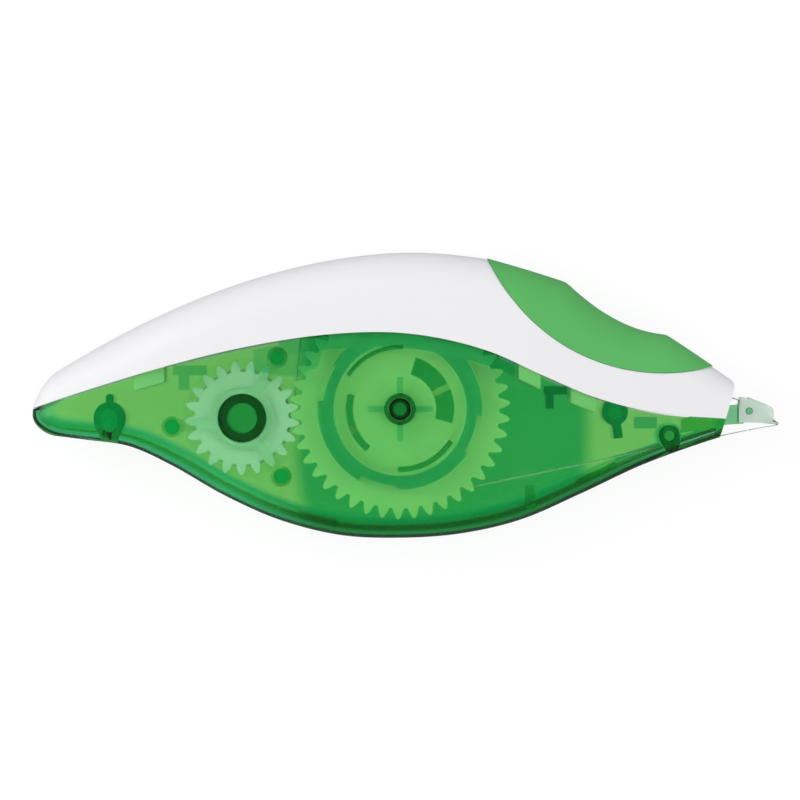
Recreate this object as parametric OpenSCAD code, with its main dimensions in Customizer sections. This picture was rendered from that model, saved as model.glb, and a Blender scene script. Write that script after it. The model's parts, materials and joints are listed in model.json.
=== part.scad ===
// Side-apply correction tape lying on its flat side.
// X runs from the tail to the tip, Y towards the white cover, Z up from the table.
// The origin is the axis of the supply reel on the plane the object rests on. Sizes in mm.

/* [Body] */
// Supply reel axis to the end of the tail
tail_reach = 61.2; // [59:0.1:66]
// Supply reel axis to the top corner of the nose
nose_reach = 55.6; // [54:0.1:59]
// Supply reel axis to the top of the crown
crown_rise = 26; // [25:0.1:29]
// Supply gear to the inside of the keel
keel_room = 1.9; // [1.6:0.1:3]
// Half width of the tail end
tail_half = 4; // [3.6:0.1:5]
// Half width of the nose end
nose_half = 5.2; // [5:0.1:6]
// Wall of the case and of the cover
wall = 1.2; // [1:0.05:1.4]
// Gap between two outer mouldings
seam = 0.14; // [0.1:0.01:0.2]
// Rounding of the keel edges
keel_round = 5; // [4:0.1:6]
// Rounding of the crown edges
crown_round = 7; // [6:0.1:8]

/* [Grip] */
// Thickness of the soft grip
grip_t = 1.6; // [1.2:0.1:1.8]
// Height of the grip above the cover
grip_proud = 0.2; // [0.1:0.05:0.4]
// Radius of the curve that bounds the grip
grip_r = 31.6; // [30:0.1:33]
// Depth of the finger hollow
hollow_depth = 1.85; // [1:0.05:2.2]

/* [Tape] */
// Width of the tape
tape_w = 5; // [4.2:0.1:6]
// Thickness the loose tape is drawn with
tape_t = 0.12; // [0.1:0.01:0.2]
// Outer radius of the supply reel core
core_r = 11.2; // [10.8:0.1:11.8]
// Outer radius of the tape roll
roll_r = 14.9; // [13:0.1:15.2]
// Outer radius of the take-up drum
drum_r = 7.6; // [7.2:0.1:7.6]
// Film already wound on the take-up drum
wound_t = 0.4; // [0.2:0.05:1]

/* [Gears] */
// Tooth module
gear_module = 0.832; // [0.82:0.002:0.84]
// Thickness of both gears
gear_t = 2; // [1.6:0.1:2.4]
// Play between meshing teeth
backlash = 0.2; // [0.12:0.01:0.3]
// Radius of the supply axle
axle_r = 1.8; // [1.7:0.05:2]
// Outer radius of the take-up axle tube
tube_r = 4; // [3.8:0.05:4.2]
// Clearance of every running fit
run_gap = 0.06; // [0.04:0.01:0.1]

/* [Tip] */
// Nose corner to the tilt axis of the tip
pivot_reach = 2.4; // [2.2:0.05:3]
// Tilt axis to the edge of the blade
blade_reach = 4.75; // [4.5:0.05:5.4]
// Thickness of the side plates
plate_t = 0.7; // [0.6:0.05:0.9]
// Radius of the tilt pin
pin_r = 0.55; // [0.45:0.05:0.65]

/* [Hidden] */
$fn = 72;
outer_steps = 6;
inner_steps = 4;

// Gear train
supply_teeth = 42;
take_up_teeth = 21;
pressure_angle = 25;
addendum = 0.95 * gear_module;
dedendum = 1.2 * gear_module;
supply_pitch_r = supply_teeth * gear_module / 2;
take_up_pitch_r = take_up_teeth * gear_module / 2;
supply_tip_r = supply_pitch_r + addendum;
take_up_tip_r = take_up_pitch_r + addendum;
centre_distance = supply_pitch_r + take_up_pitch_r;
mesh_angle = 183.3;
take_up_at = centre_distance * [cos(mesh_angle), sin(mesh_angle)];

// Levels through the thickness
axial_gap = 0.4;
rib_gap = 0.3;
bearing_rib = 2.6;
half_t = tape_w / 2 + axial_gap + gear_t + rib_gap + bearing_rib + wall;
mid = half_t;
body_t = 2 * half_t;
tape_lo = mid - tape_w / 2;
tape_hi = mid + tape_w / 2;
gear_lo = tape_hi + axial_gap;
gear_hi = gear_lo + gear_t;
rib_lo = gear_hi + rib_gap;
flange_t = 0.8;
flange_hi = tape_lo - rib_gap;
flange_lo = flange_hi - flange_t;
seat_hi = flange_lo - rib_gap;
hub_lo = flange_lo - 0.2;

// Outline of the body seen from the front
belly_depth = supply_tip_r + keel_room + wall;
tail_flat = centre_distance + drum_r / 2;
nose_flat = 20;
tail_mid = -0.9;
tail_round = 4;
crown_x = 2;
crown_at_tail = 3.6;
crown_power = 1.86;
tail_power = 1.6;
nose_power = 1.25;
nose_keel_round = 2;
nose_corner_y = 3.8;
nose_slope = 0.298;
grip_start_x = 14.1;
hollow_start = [27.6, 20.9];
hollow_end = [44.3, 12.2];
nose_top = [nose_reach, 4.5];
grip_bulge = 0.1;
nose_bulge = 0.1;
grip_centre = [43.5, 37.5];
keel_knots = [
    [-1, -0.19], [-0.85, -0.241], [-0.735, -0.29], [-0.62, -0.436], [-0.475, -0.672], [-0.327, -0.86],
    [-0.163, -0.978], [0, -1], [0.18, -0.967], [0.36, -0.859], [0.54, -0.656], [0.72, -0.437],
    [0.9, -0.265], [1.04, -0.155]
];
parting_knots = [
    [-1, 0], [-0.82, 0.138], [-0.62, 0.277], [-0.425, 0.388], [-0.23, 0.463], [-0.05, 0.487],
    [0.108, 0.452], [0.27, 0.36], [0.43, 0.206], [0.594, 0.062], [0.773, -0.029], [1, -0.067]
];

// Ribs and catches seen through the case
front_rib = [11, 12.7];
rim_arcs = [[-5, 65, 0.9], [114, 33, 0.6], [174, 66, 0.9], [268, 59, 0.6]];
hub_ring_r = 2.6;
hub_cross_r = 5.3;
hub_cross_w = 1;
hub_ring_lo = rib_lo + 0.2;
hub_cross_lo = rib_lo + 0.8;
keel_tabs = [[-16.8, -10.5], [nose_reach - 26, nose_reach - 19.8]];
keel_tab_depth = 1;
keel_tab_half = 3;
cover_tabs = [
    [-44, -39], [nose_reach - 36, nose_reach - 32.4], [nose_reach - 27.4, nose_reach - 23.2]
];
cover_tab_t = 1;
cover_tab_drop = 2.4;
cover_tab_rise = 1.8;
tail_catch_at = [-34.7, 5.6];
tail_catch_bar = [5.5, 1.6];
tail_catch_stem = [1.7, 2.4];
nose_catch_at = [nose_reach - 29.9, 2.4];
nose_catch_bar = [3.9, 1.4];
nose_catch_stem = [1.3, 2.3];
nose_catch_lo = mid + 1.5;
catch_lean = 1;
tape_stop = [[nose_reach - 16.8, -3.2], [nose_reach - 13.1, -1.3]];
belly_rib = [[20.7, -16], [22.2, -12.6]];
top_pad = [[-24.2, 6.2], [-17.4, 5.4], [-13.6, 7], [-12.4, 11.9], [-24.2, 9.8]];
gear_windows = [[-15, 88, 6, 9], [163, 68, 7.8, 9], [87, 60, 9.9, 10.6], [268, 60, 9.5, 10.4]];

// Inside the case
roll_gap = 0.1;
core_wall = 0.8;
flange_rim = 0.9;
reel_hub_rise = 1.6;
flange_gap = 0.48;
flange_r = roll_r + flange_rim;
hub_r = axle_r + 1.6;
axle_bore_r = 1.1;
base_r = hub_r - 0.2;
pad_floor = 2.2;
tube_wall = 1.5;
tube_hi = rib_lo + 1.2;
retainer_t = 0.8;
top_pad_lo = rib_lo + retainer_t + 0.4;
retainer_reach = take_up_tip_r + 2.1;
retainer_feet = [for (a = [60, 187, 304]) take_up_at + retainer_reach * [cos(a), sin(a)]];
retainer_post_r = 1.3;
retainer_pin_r = 0.8;
retainer_pad_r = 1.7;
retainer_leg_w = 2;
hub_wall = 1.1;
joined = 0.5;
take_up_flange_r = centre_distance - flange_r - flange_gap;
fit_gap = 0.15;
tongue_t = 1;
tongue_rim = 0.7;
tongue_foot = 6;
tongue_hi = wall + fit_gap + tongue_t;
guide_r = 1.5;
guide_y = roll_r + 0.1;
guide_room = 5.105;
guide_drop = grip_centre[1] - guide_y;
guide_at = [grip_centre[0] - sqrt(pow(grip_r + guide_room, 2) - pow(guide_drop, 2)), guide_y];
feed_post_at = [nose_reach - 11.1, -4.33];
feed_post_r = 1.7;
feed_boss_r = 2.1;
feed_cup_r = 0.85;
snap_at = [-48, -1.5];
snap_r = 2.7;
snap_key = [1.3, 4];
snap_foot = [2.6, 4];
snap_peg_r = 1.4;
snap_peg_reach = 2.4;
nose_boss_at = [nose_reach - 20.1, -0.5];
nose_boss_r = 2.17;
nose_stem_w = 1.5;
nose_stem_to = [0.6, -4.3];
nose_peg_r = 1.1;
nose_peg_reach = 2;
peg_room = 0.2;
post_gap = 0.3;

// Clutch
clutch_lo = tape_hi - 2.4;
clutch_hi = tape_hi - 0.6;
clutch_arms = 4;
clutch_turn = 25;
clutch_sweep = 58;
clutch_pad = 8;
clutch_arm_t = 0.8;
clutch_root_half = 0.5;
clutch_wall = 1.2;
clutch_reach = core_r - core_wall - 0.2;
clutch_in = clutch_reach - clutch_arm_t;
press_gap = 0.02;

// Tip
pivot = [nose_reach + pivot_reach, -0.33];
knuckle_r = 1.2;
tip_gap = 0.2;
tip_half = tape_w / 2 + tip_gap;
holder_half = tip_half - tip_gap / 2;
blade_y = -2.2;
neck_outline = [
    [-11.2, -3.6], [-6.4, -3.1], [-4, -2.3], [-1, -2.1],
    [0, -knuckle_r], [0, knuckle_r], [-3, 0.95], [-11.2, -1.4]
];
plate_foot = [[-1.7, -1.9], [3.6, -1.97], [4.1, -1.3]];
plate_nose = [3.1, -0.1];
plate_nose_r = 1;
plate_heel = [-1.1, 2];
plate_heel_r = 0.35;
plate_back = [-1.7, 0.6];
blade_root = [[2.2, -1.97], [2.5, -0.9]];
bridge_outline = [[-0.2, 1.9], [0, 2.25], [3.1, 1], [2.9, 0.65]];
tip_edge_r = 0.12;
exit_at = [nose_reach - 2.5, -4.55];
exit_slope = 0.205;
split_gap = [0.2, 0.04];
return_start = -0.25;
loop_end = -0.1;
slot_half = tip_half + 0.5;
slot_back = nose_reach - 4;
slot_top = 2.7;
groove_depth = 0.45;
groove_reach = 11;
groove_top = -3;

// Sub-parts, each drawn in the shared frame
rear_case();
front_case();
top_cover();
grip_pad();
reel_post();
take_up_post();
feed_guide_post();
crown_guide_front();
crown_guide_rear();
take_up_retainer();
tip_holder();
tip_pin();
tape_feed();
tape_return();
supply_gear();
clutch_spring();
supply_reel();
supply_tape();
take_up_gear();
take_up_flange();
take_up_tape();
applicator_tip();
tape_tip_loop();

// Curves

// Knots given as shares of the reach and of the height
function placed(knots, height) = [
    for (k = knots) [k[0] * (k[0] < 0 ? tail_reach : nose_reach), k[1] * height]
];

// Slope of the curve at one knot
function knot_slope(p, i) =
    let (a = max(i - 1, 0), b = min(i + 1, len(p) - 1))
    (p[b][1] - p[a][1]) / (p[b][0] - p[a][0]);

// Last knot at or before x, never the final one
function knot_before(p, x, i = 0) =
    i >= len(p) - 2 || x < p[i + 1][0] ? i : knot_before(p, x, i + 1);

// Smooth curve through the knots
function curve(p, x) =
    let (
        i = knot_before(p, x),
        h = p[i + 1][0] - p[i][0],
        s = (x - p[i][0]) / h,
        m0 = knot_slope(p, i) * h,
        m1 = knot_slope(p, i + 1) * h
    )
    p[i][1] + s * (m0 + s * (3 * (p[i + 1][1] - p[i][1]) - 2 * m0 - m1
        + s * (2 * (p[i][1] - p[i + 1][1]) + m0 + m1)));

keel_curve = placed(keel_knots, belly_depth);
parting_curve = placed(parting_knots, crown_rise);

// Straight line from a to b with a parabolic bulge
function bowed(a, b, bulge, x) =
    let (s = (x - a[0]) / (b[0] - a[0]))
    a[1] + (b[1] - a[1]) * s + 4 * bulge * s * (1 - s);

function crown_y(x) =
    crown_rise - (crown_rise - crown_at_tail) * pow(abs(x - crown_x) / (tail_reach + crown_x), crown_power);
grip_start = [grip_start_x, crown_y(grip_start_x)];

function top_y(x) =
    x < grip_start_x ? crown_y(x)
    : x < hollow_start[0] ? bowed(grip_start, hollow_start, grip_bulge, x)
    : x < hollow_end[0] ? bowed(hollow_start, hollow_end, -hollow_depth, x)
    : bowed(hollow_end, nose_top, nose_bulge, x);
function keel_y(x) = curve(keel_curve, x);
function parting_y(x) = curve(parting_curve, x);
function side_z(x) =
    x < -tail_flat
    ? half_t - (half_t - tail_half) * pow((-x - tail_flat) / (tail_reach - tail_flat), tail_power)
    : x > nose_flat
    ? half_t - (half_t - nose_half) * pow((x - nose_flat) / (nose_reach - nose_flat), nose_power)
    : half_t;

// Rounding of the keel edges, tighter towards the nose
function keel_round_at(x) =
    keel_round - (keel_round - nose_keel_round) * min(1, max(0, (x - nose_flat) / (nose_reach - nose_flat)));

// Lengthening of a wall measured along Y on a sloping outline
function top_stretch(x) = norm([1, (top_y(x + 0.2) - top_y(x - 0.2)) / 0.4]);
function keel_stretch(x) = norm([1, (keel_y(x + 0.2) - keel_y(x - 0.2)) / 0.4]);

// Stations from the tail to just past the nose
function spread(a, b, n) = [for (i = [1 : n]) a + (b - a) * i / n];
function stations(inset) =
    let (start = -tail_reach + inset, cap = start + tail_round)
    concat(
        [for (i = [0 : 6]) start + 0.02 + (tail_round - 0.02) * (1 - cos(15 * i))],
        spread(cap, -tail_flat, 8), spread(-tail_flat, grip_start_x, 8),
        spread(grip_start_x, hollow_start[0], 4), spread(hollow_start[0], hollow_end[0], 7),
        spread(hollow_end[0], nose_reach + 2, 6)
    );

function arc_points(c, r, from, to, n) = [
    for (i = [0 : n]) c + r * [cos(from + (to - from) * i / n), sin(from + (to - from) * i / n)]
];

// One section as Y and Z pairs, a rectangle with rounded corners of n steps each
function section(x, inset, n) =
    let (
        s = min(1, max(0, (x + tail_reach - inset) / tail_round)),
        closing = sqrt(1 - (1 - s) * (1 - s)),
        hi = tail_mid + (top_y(x) - inset * top_stretch(x) - tail_mid) * closing,
        lo = tail_mid + (keel_y(x) + inset * keel_stretch(x) - tail_mid) * closing,
        w = (side_z(x) - inset) * pow(closing, 0.7),
        rt = min(max(crown_round - inset, 1), 0.48 * (hi - lo), 0.95 * w),
        rb = min(max(keel_round_at(x) - inset, 1), 0.48 * (hi - lo), 0.95 * w)
    )
    concat(
        arc_points([hi - rt, w - rt], rt, 90, 0, n),
        arc_points([hi - rt, rt - w], rt, 0, -90, n),
        arc_points([lo + rb, rb - w], rb, 270, 180, n),
        arc_points([lo + rb, w - rb], rb, 180, 90, n)
    );

// Whole body set in from the outside by the given depth
module body(inset, steps = inner_steps) {
    xs = stations(inset);
    rings = [for (x = xs) [for (p = section(x, inset, steps)) [x, p[0], mid + p[1]]]];
    n = len(rings[0]);
    last = len(xs) - 1;
    faces = concat(
        [[for (j = [0 : n - 1]) n - 1 - j]],
        [for (i = [0 : last - 1], j = [0 : n - 1]) [
            i * n + j, i * n + (j + 1) % n, (i + 1) * n + (j + 1) % n, (i + 1) * n + j
        ]],
        [[for (j = [0 : n - 1]) last * n + j]]
    );
    intersection() {
        polyhedron([for (ring = rings, p = ring) p], faces, convexity = 6);
        tall(nose_side(inset));
    }
}

// Everything behind the sloping nose face
function nose_side(inset) =
    let (x = nose_reach - inset * norm([1, nose_slope]))
    [[-100, -60], [x - (60 + nose_corner_y) * nose_slope, -60],
     [x + (60 - nose_corner_y) * nose_slope, 60], [-100, 60]];

// Side-view regions above and below the parting line
function parting_points(shift) = [
    for (x = concat([-100], spread(-tail_reach, nose_reach, 36), [100]))
        [x, parting_y(max(-tail_reach, min(nose_reach, x))) + shift]
];
function above_parting(gap) = concat(parting_points(gap), [[100, 60], [-100, 60]]);
function below_parting(gap) = concat(parting_points(-gap), [[100, -60], [-100, -60]]);

// Solid as tall as the object over a side-view outline
module tall(outline) {
    translate([0, 0, -1]) linear_extrude(body_t + 2) polygon(outline);
}

// Slab between two levels
module level(lo, hi) {
    translate([-100, -60, lo]) cube([200, 120, hi - lo]);
}

// Box given by two corners in the side view and two levels
module block(a, b, lo, hi) {
    translate([a[0], a[1], lo]) cube([b[0] - a[0], b[1] - a[1], hi - lo]);
}

module disc(at, r, lo, hi) {
    translate([at[0], at[1], lo]) cylinder(r = r, h = hi - lo);
}

module ring(at, inner, outer, lo, hi) {
    difference() {
        disc(at, outer, lo, hi);
        disc(at, inner, lo - 1, hi + 1);
    }
}

// Curved wall about the supply axis
module arc_wall(from, sweep, inner, outer, lo, hi) {
    translate([0, 0, lo]) rotate(from) rotate_extrude(angle = sweep) translate([inner, 0])
        square([outer - inner, hi - lo]);
}

// Bar of given width between two side-view points
module bar(a, b, width, lo, hi) {
    translate([0, 0, lo]) linear_extrude(hi - lo) bar_outline(a, b, width);
}

// Slot in the nose for the tip holder and the tape, with a groove for the tape in the keel
module nose_slot() {
    low = exit_at - [0, groove_depth];
    along = [1, exit_slope];
    past = nose_reach + 5;
    translate([0, 0, mid - slot_half]) linear_extrude(2 * slot_half) polygon([
        low - groove_reach * along, low + (past - low[0]) * along, [past, slot_top],
        [slot_back, slot_top], [slot_back, groove_top], [low[0] - groove_reach, groove_top]
    ]);
}

// Catch seen from the front as a T whose stem stands off the middle
module catch_shape(at, bar_size, stem_size, lo) {
    block(at - [bar_size[0] / 2, 0], at + [bar_size[0] / 2, bar_size[1]], lo, body_t);
    stem = at - [catch_lean, 0];
    block(stem - [stem_size[0] / 2, stem_size[1]], stem + [stem_size[0] / 2, joined], lo, body_t);
}

// Flat bar of given width between two side-view points
module bar_outline(a, b, width) {
    d = b - a;
    translate(a) rotate(atan2(d[1], d[0])) translate([0, -width / 2]) square([norm(d), width]);
}

// Snap boss with its stiffening ribs
module snap_boss(lo, hi) {
    translate([0, 0, lo]) linear_extrude(hi - lo) union() {
        translate(snap_at) circle(r = snap_r);
        bar_outline(snap_at, snap_at + [0, snap_key[1]], snap_key[0]);
        bar_outline(snap_at, snap_at - [0, snap_foot[1]], snap_foot[0]);
    }
}

module nose_boss(lo, hi) {
    translate([0, 0, lo]) linear_extrude(hi - lo) union() {
        translate(nose_boss_at) circle(r = nose_boss_r);
        bar_outline(nose_boss_at, nose_boss_at + nose_stem_to, nose_stem_w);
    }
}

// Hollow of the feed boss, open towards the cover
module feed_cup(lo, hi) {
    translate([0, 0, lo]) linear_extrude(hi - lo) union() {
        translate(feed_post_at) circle(r = feed_cup_r);
        bar_outline(feed_post_at, feed_post_at + [0, feed_boss_r + joined], 2 * feed_cup_r);
    }
}

// Half of the case below the parting line
module half_case(lo, hi) {
    difference() {
        intersection() {
            body(0, outer_steps);
            tall(below_parting(seam / 2));
            level(lo, hi);
        }
        body(wall);
        nose_slot();
    }
}

module rear_case() {
    color([0.2, 0.62, 0.28]) {
        half_case(-1, mid - seam / 2);
        ring([0, 0], core_r + 0.2, core_r + 1.2, wall / 2, seat_hi);
        disc(take_up_at, tube_r + 1, wall, pad_floor);
        intersection() {
            body(wall / 2);
            tall(below_parting(seam / 2));
            union() {
                snap_boss(0, mid - seam / 2);
                nose_boss(0, mid - seam / 2);
                disc(feed_post_at, feed_boss_r, 0, tape_lo - post_gap);
            }
        }
        disc(snap_at, snap_peg_r, mid - 1, mid + snap_peg_reach);
        disc(nose_boss_at, nose_peg_r, mid - 1, mid + nose_peg_reach);
        for (at = retainer_feet) {
            disc(at, retainer_post_r, mid - side_z(at[0]) + wall / 2, rib_lo);
            disc(at, retainer_pin_r, rib_lo - 1, rib_lo + retainer_t + peg_room);
        }
        crown_tongue();
        for (tab = keel_tabs) keel_tab(tab[0], tab[1]);
    }
}

// Plate that rises inside the cover and carries the crown guides
module crown_tongue() {
    reach = guide_at[0] + guide_r + tongue_rim;
    top = guide_at[1] + guide_r + tongue_rim;
    block([-reach, tongue_foot], [reach, top], wall + fit_gap, tongue_hi);
    intersection() {
        block([-reach, tongue_foot], [reach, top], wall / 2, tongue_hi);
        tall(below_parting(seam));
    }
}

// Strip that follows the keel between two depths
function keel_strip(from, to, outer, inner) =
    let (xs = [for (i = [0 : 4]) from + (to - from) * i / 4])
    concat(
        [for (x = xs) [x, keel_y(x) + outer * keel_stretch(x)]],
        [for (i = [1 : 5]) [xs[5 - i], keel_y(xs[5 - i]) + inner * keel_stretch(xs[5 - i])]]
    );

// Tab along the keel that reaches into the other half
module keel_tab(from, to) {
    inner = wall + keel_tab_depth;
    translate([0, 0, mid - keel_tab_half]) linear_extrude(keel_tab_half - seam / 2)
        polygon(keel_strip(from, to, wall / 2, inner));
    translate([0, 0, mid - 1]) linear_extrude(keel_tab_half + 1)
        polygon(keel_strip(from, to, wall + 2 * fit_gap, inner));
}

module front_case() {
    color([0.2, 0.62, 0.28]) difference() {
        union() {
            half_case(mid + seam / 2, body_t + 1);
            intersection() {
                union() {
                    ring([0, 0], front_rib[0], front_rib[1], rib_lo, body_t - wall / 2);
                    for (a = rim_arcs)
                        arc_wall(a[0], a[1], front_rib[1] - joined, front_rib[1] + a[2],
                            rib_lo, body_t - wall / 2);
                }
                tall(below_parting(seam / 2));
            }
            ring([0, 0], axle_r + fit_gap, hub_ring_r, hub_ring_lo, body_t - wall / 2);
            for (a = [0 : 90 : 270])
                bar((hub_ring_r - 0.2) * [cos(a), sin(a)], hub_cross_r * [cos(a), sin(a)],
                    hub_cross_w, hub_cross_lo, body_t - wall / 2);
            block(belly_rib[0], belly_rib[1], gear_hi, body_t - 2 * wall);
            intersection() {
                body(wall / 2);
                tall(below_parting(seam / 2));
                union() {
                    snap_boss(mid + seam / 2, body_t);
                    nose_boss(mid + seam / 2, body_t);
                    disc(feed_post_at, feed_boss_r, tape_hi + post_gap, body_t);
                    catch_shape(tail_catch_at, tail_catch_bar, tail_catch_stem, rib_lo + peg_room);
                    catch_shape(nose_catch_at, nose_catch_bar, nose_catch_stem, nose_catch_lo);
                    block(tape_stop[0], tape_stop[1], tape_hi + post_gap, body_t);
                    translate([0, 0, top_pad_lo]) linear_extrude(body_t - top_pad_lo) polygon(top_pad);
                }
            }
        }
        feed_cup(tape_hi + post_gap - 1, mid + side_z(feed_post_at[0]) - wall);
        disc(snap_at, snap_peg_r + fit_gap, mid - 1, mid + snap_peg_reach + peg_room);
        disc(nose_boss_at, nose_peg_r + fit_gap, mid - 1, mid + nose_peg_reach + peg_room);
    }
}

// Circle that bounds the grip in the side view
module grip_zone(grow) {
    translate([grip_centre[0], grip_centre[1], -1]) cylinder(r = grip_r + grow, h = body_t + 2, $fn = 144);
}

module top_cover() {
    color([0.93, 0.93, 0.94]) {
        difference() {
            intersection() {
                union() {
                    difference() {
                        body(0, outer_steps);
                        grip_zone(0);
                    }
                    body(grip_t);
                }
                tall(above_parting(seam / 2));
            }
            difference() {
                body(wall);
                grip_zone(wall);
            }
            body(grip_t + wall);
            nose_slot();
        }
        for (tab = cover_tabs, side = [-1, 1]) cover_tab(tab[0], tab[1], side);
    }
}

// Strip along the parting line between two heights
function parting_strip(from, to, lo, hi) =
    let (a = parting_y(from), b = parting_y(to))
    [[from, a + lo], [to, b + lo], [to, b + hi], [from, a + hi]];

// Tab of the cover that reaches inside the case, on one side of the middle
module cover_tab(from, to, side) {
    outer = min(side_z(from), side_z(to)) - wall - fit_gap;
    half = cover_tab_t / 2;
    translate([0, 0, mid + side * (outer - half) - half]) linear_extrude(cover_tab_t)
        polygon(parting_strip(from, to, -cover_tab_drop, cover_tab_rise));
    translate([0, 0, mid + side * outer - half]) linear_extrude(cover_tab_t)
        polygon(parting_strip(from, to, 2 * seam, cover_tab_rise));
}

module grip_pad() {
    color([0.37, 0.72, 0.4]) intersection() {
        difference() {
            body(-grip_proud, outer_steps);
            body(grip_t - seam / 2);
        }
        grip_zone(-seam / 2);
        level(seam, body_t - seam);
    }
}

// Hollow axle of the supply gear, standing on the floor of the rear case
module reel_post() {
    color([0.16, 0.5, 0.22]) {
        ring([0, 0], axle_bore_r, base_r, wall, hub_lo - peg_room);
        ring([0, 0], axle_bore_r, axle_r, wall, body_t - wall - post_gap);
    }
}

module take_up_post() {
    color([0.16, 0.5, 0.22]) ring(take_up_at, tube_r - tube_wall, tube_r, pad_floor, tube_hi);
}

module feed_guide_post() {
    color([0.16, 0.5, 0.22])
        ring(feed_post_at, feed_cup_r, feed_post_r, tape_lo - post_gap, tape_hi + post_gap);
}

module crown_guide(side) {
    disc([side * guide_at[0], guide_at[1]], guide_r, tongue_hi, tape_hi + peg_room);
}

module crown_guide_front() {
    color([0.16, 0.5, 0.22]) crown_guide(1);
}

module crown_guide_rear() {
    color([0.16, 0.5, 0.22]) crown_guide(-1);
}

// Three-legged plate that keeps the take-up gear on its axle
module take_up_retainer() {
    hi = rib_lo + retainer_t;
    color([0.62, 0.82, 0.6]) difference() {
        union() {
            disc(take_up_at, tube_r + hub_wall, rib_lo, hi);
            for (at = retainer_feet) {
                bar(take_up_at, at, retainer_leg_w, rib_lo, hi);
                disc(at, retainer_pad_r, rib_lo, hi);
            }
        }
        disc(take_up_at, tube_r + run_gap, rib_lo - 1, hi + 1);
        for (at = retainer_feet) disc(at, retainer_pin_r + run_gap, rib_lo - 1, hi + 1);
    }
}

// Gears

function involute(angle) = tan(angle) - angle * PI / 180;

// Half the angle a tooth covers at radius r
function tooth_half(teeth, r) =
    let (
        pitch_r = teeth * gear_module / 2,
        base = pitch_r * cos(pressure_angle),
        flank = involute(pressure_angle) - involute(acos(base / max(r, base)))
    )
    (PI / 2 / teeth - backlash / 4 / pitch_r + flank) * 180 / PI;

// Outline with a tooth centred on the given direction
module gear_outline(teeth, phase) {
    pitch_r = teeth * gear_module / 2;
    root_r = pitch_r - dedendum;
    tip_r = pitch_r + addendum;
    radii = [for (i = [0 : 5]) root_r + (tip_r - root_r) * i / 5];
    polygon([
        for (k = [0 : teeth - 1], side = [-1, 1], i = [0 : 5])
            let (
                r = radii[side < 0 ? i : 5 - i],
                a = phase + 360 * k / teeth + side * tooth_half(teeth, r)
            )
            r * [cos(a), sin(a)]
    ]);
}

module supply_gear() {
    color([0.9, 0.93, 0.88]) difference() {
        union() {
            translate([0, 0, gear_lo]) linear_extrude(gear_t) gear_outline(supply_teeth, mesh_angle);
            disc([0, 0], hub_r, hub_lo, gear_lo + joined);
        }
        disc([0, 0], axle_r + run_gap, hub_lo - 1, gear_hi + 1);
        for (w = gear_windows) arc_wall(w[0], w[1], w[2], w[3], gear_lo - 1, gear_hi + 1);
    }
}

// Friction spring on the gear hub whose curved arms drag the reel core round
module clutch_spring() {
    color([0.86, 0.9, 0.84]) difference() {
        union() {
            disc([0, 0], hub_r + clutch_wall, clutch_lo, clutch_hi);
            for (i = [0 : clutch_arms - 1]) rotate(clutch_turn + 360 * i / clutch_arms) {
                block([hub_r + clutch_wall / 2, -clutch_root_half], [clutch_in, clutch_root_half],
                    clutch_lo, clutch_hi);
                arc_wall(0, clutch_sweep, clutch_in - joined, clutch_reach - joined, clutch_lo, clutch_hi);
                arc_wall(clutch_sweep - clutch_pad, clutch_pad, clutch_in, clutch_reach,
                    clutch_lo, clutch_hi);
            }
        }
        disc([0, 0], hub_r + press_gap, clutch_lo - 1, clutch_hi + 1);
    }
}

module supply_reel() {
    color([0.92, 0.92, 0.9]) difference() {
        union() {
            disc([0, 0], flange_r, flange_lo, flange_hi);
            ring([0, 0], core_r - core_wall, core_r, flange_lo, tape_hi);
            disc([0, 0], hub_r + hub_wall, flange_lo, flange_hi + reel_hub_rise);
        }
        disc([0, 0], hub_r + run_gap, flange_lo - 1, tape_hi + 1);
    }
}

module supply_tape() {
    color([0.97, 0.97, 0.95]) ring([0, 0], core_r, roll_r, tape_lo, tape_hi);
}

module take_up_gear() {
    color([0.9, 0.93, 0.88]) difference() {
        union() {
            translate([take_up_at[0], take_up_at[1], gear_lo]) linear_extrude(gear_t)
                gear_outline(take_up_teeth, mesh_angle + 180 + 180 / take_up_teeth);
            ring(take_up_at, drum_r - core_wall, drum_r, flange_hi, gear_lo + joined);
            disc(take_up_at, tube_r + hub_wall, flange_lo, gear_lo + joined);
        }
        disc(take_up_at, tube_r + run_gap, flange_lo - 1, gear_hi + 1);
    }
}

module take_up_flange() {
    color([0.2, 0.62, 0.28])
        ring(take_up_at, tube_r + hub_wall + press_gap, take_up_flange_r, flange_lo, flange_hi);
}

module take_up_tape() {
    color([0.85, 0.8, 0.66]) ring(take_up_at, drum_r, drum_r + wound_t, tape_lo, tape_hi);
}

// Tape runs

// Direction of the straight run between two round guides, each [centre, signed radius]
function run_angle(a, b) =
    let (d = b[0] - a[0])
    atan2(d[1], d[0]) - asin((b[1] - a[1]) / norm(d));

function left_of(angle) = [-sin(angle), cos(angle)];

// Point where a run with the given direction touches a guide
function touch(g, angle) = [g[0] - g[1] * left_of(angle), angle];

// Smallest turn from one direction to another
function turn(from, to) = (to - from + 900) % 360 - 180;

// Touch points round one guide from one direction to the next
function wrap(g, from, to) =
    let (sweep = turn(from, to), n = g[1] == 0 ? 0 : ceil(abs(sweep) / 12))
    n == 0 ? [touch(g, from + sweep / 2)] : [for (i = [0 : n]) touch(g, from + sweep * i / n)];

// Route through a list of guides
function route(guides) =
    let (
        last = len(guides) - 1,
        dirs = [for (i = [0 : last - 1]) run_angle(guides[i], guides[i + 1])]
    )
    concat(
        [touch(guides[0], dirs[0])],
        [for (i = [1 : 1 : last - 1], p = wrap(guides[i], dirs[i - 1], dirs[i])) p],
        [touch(guides[last], dirs[last - 1])]
    );

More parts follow.
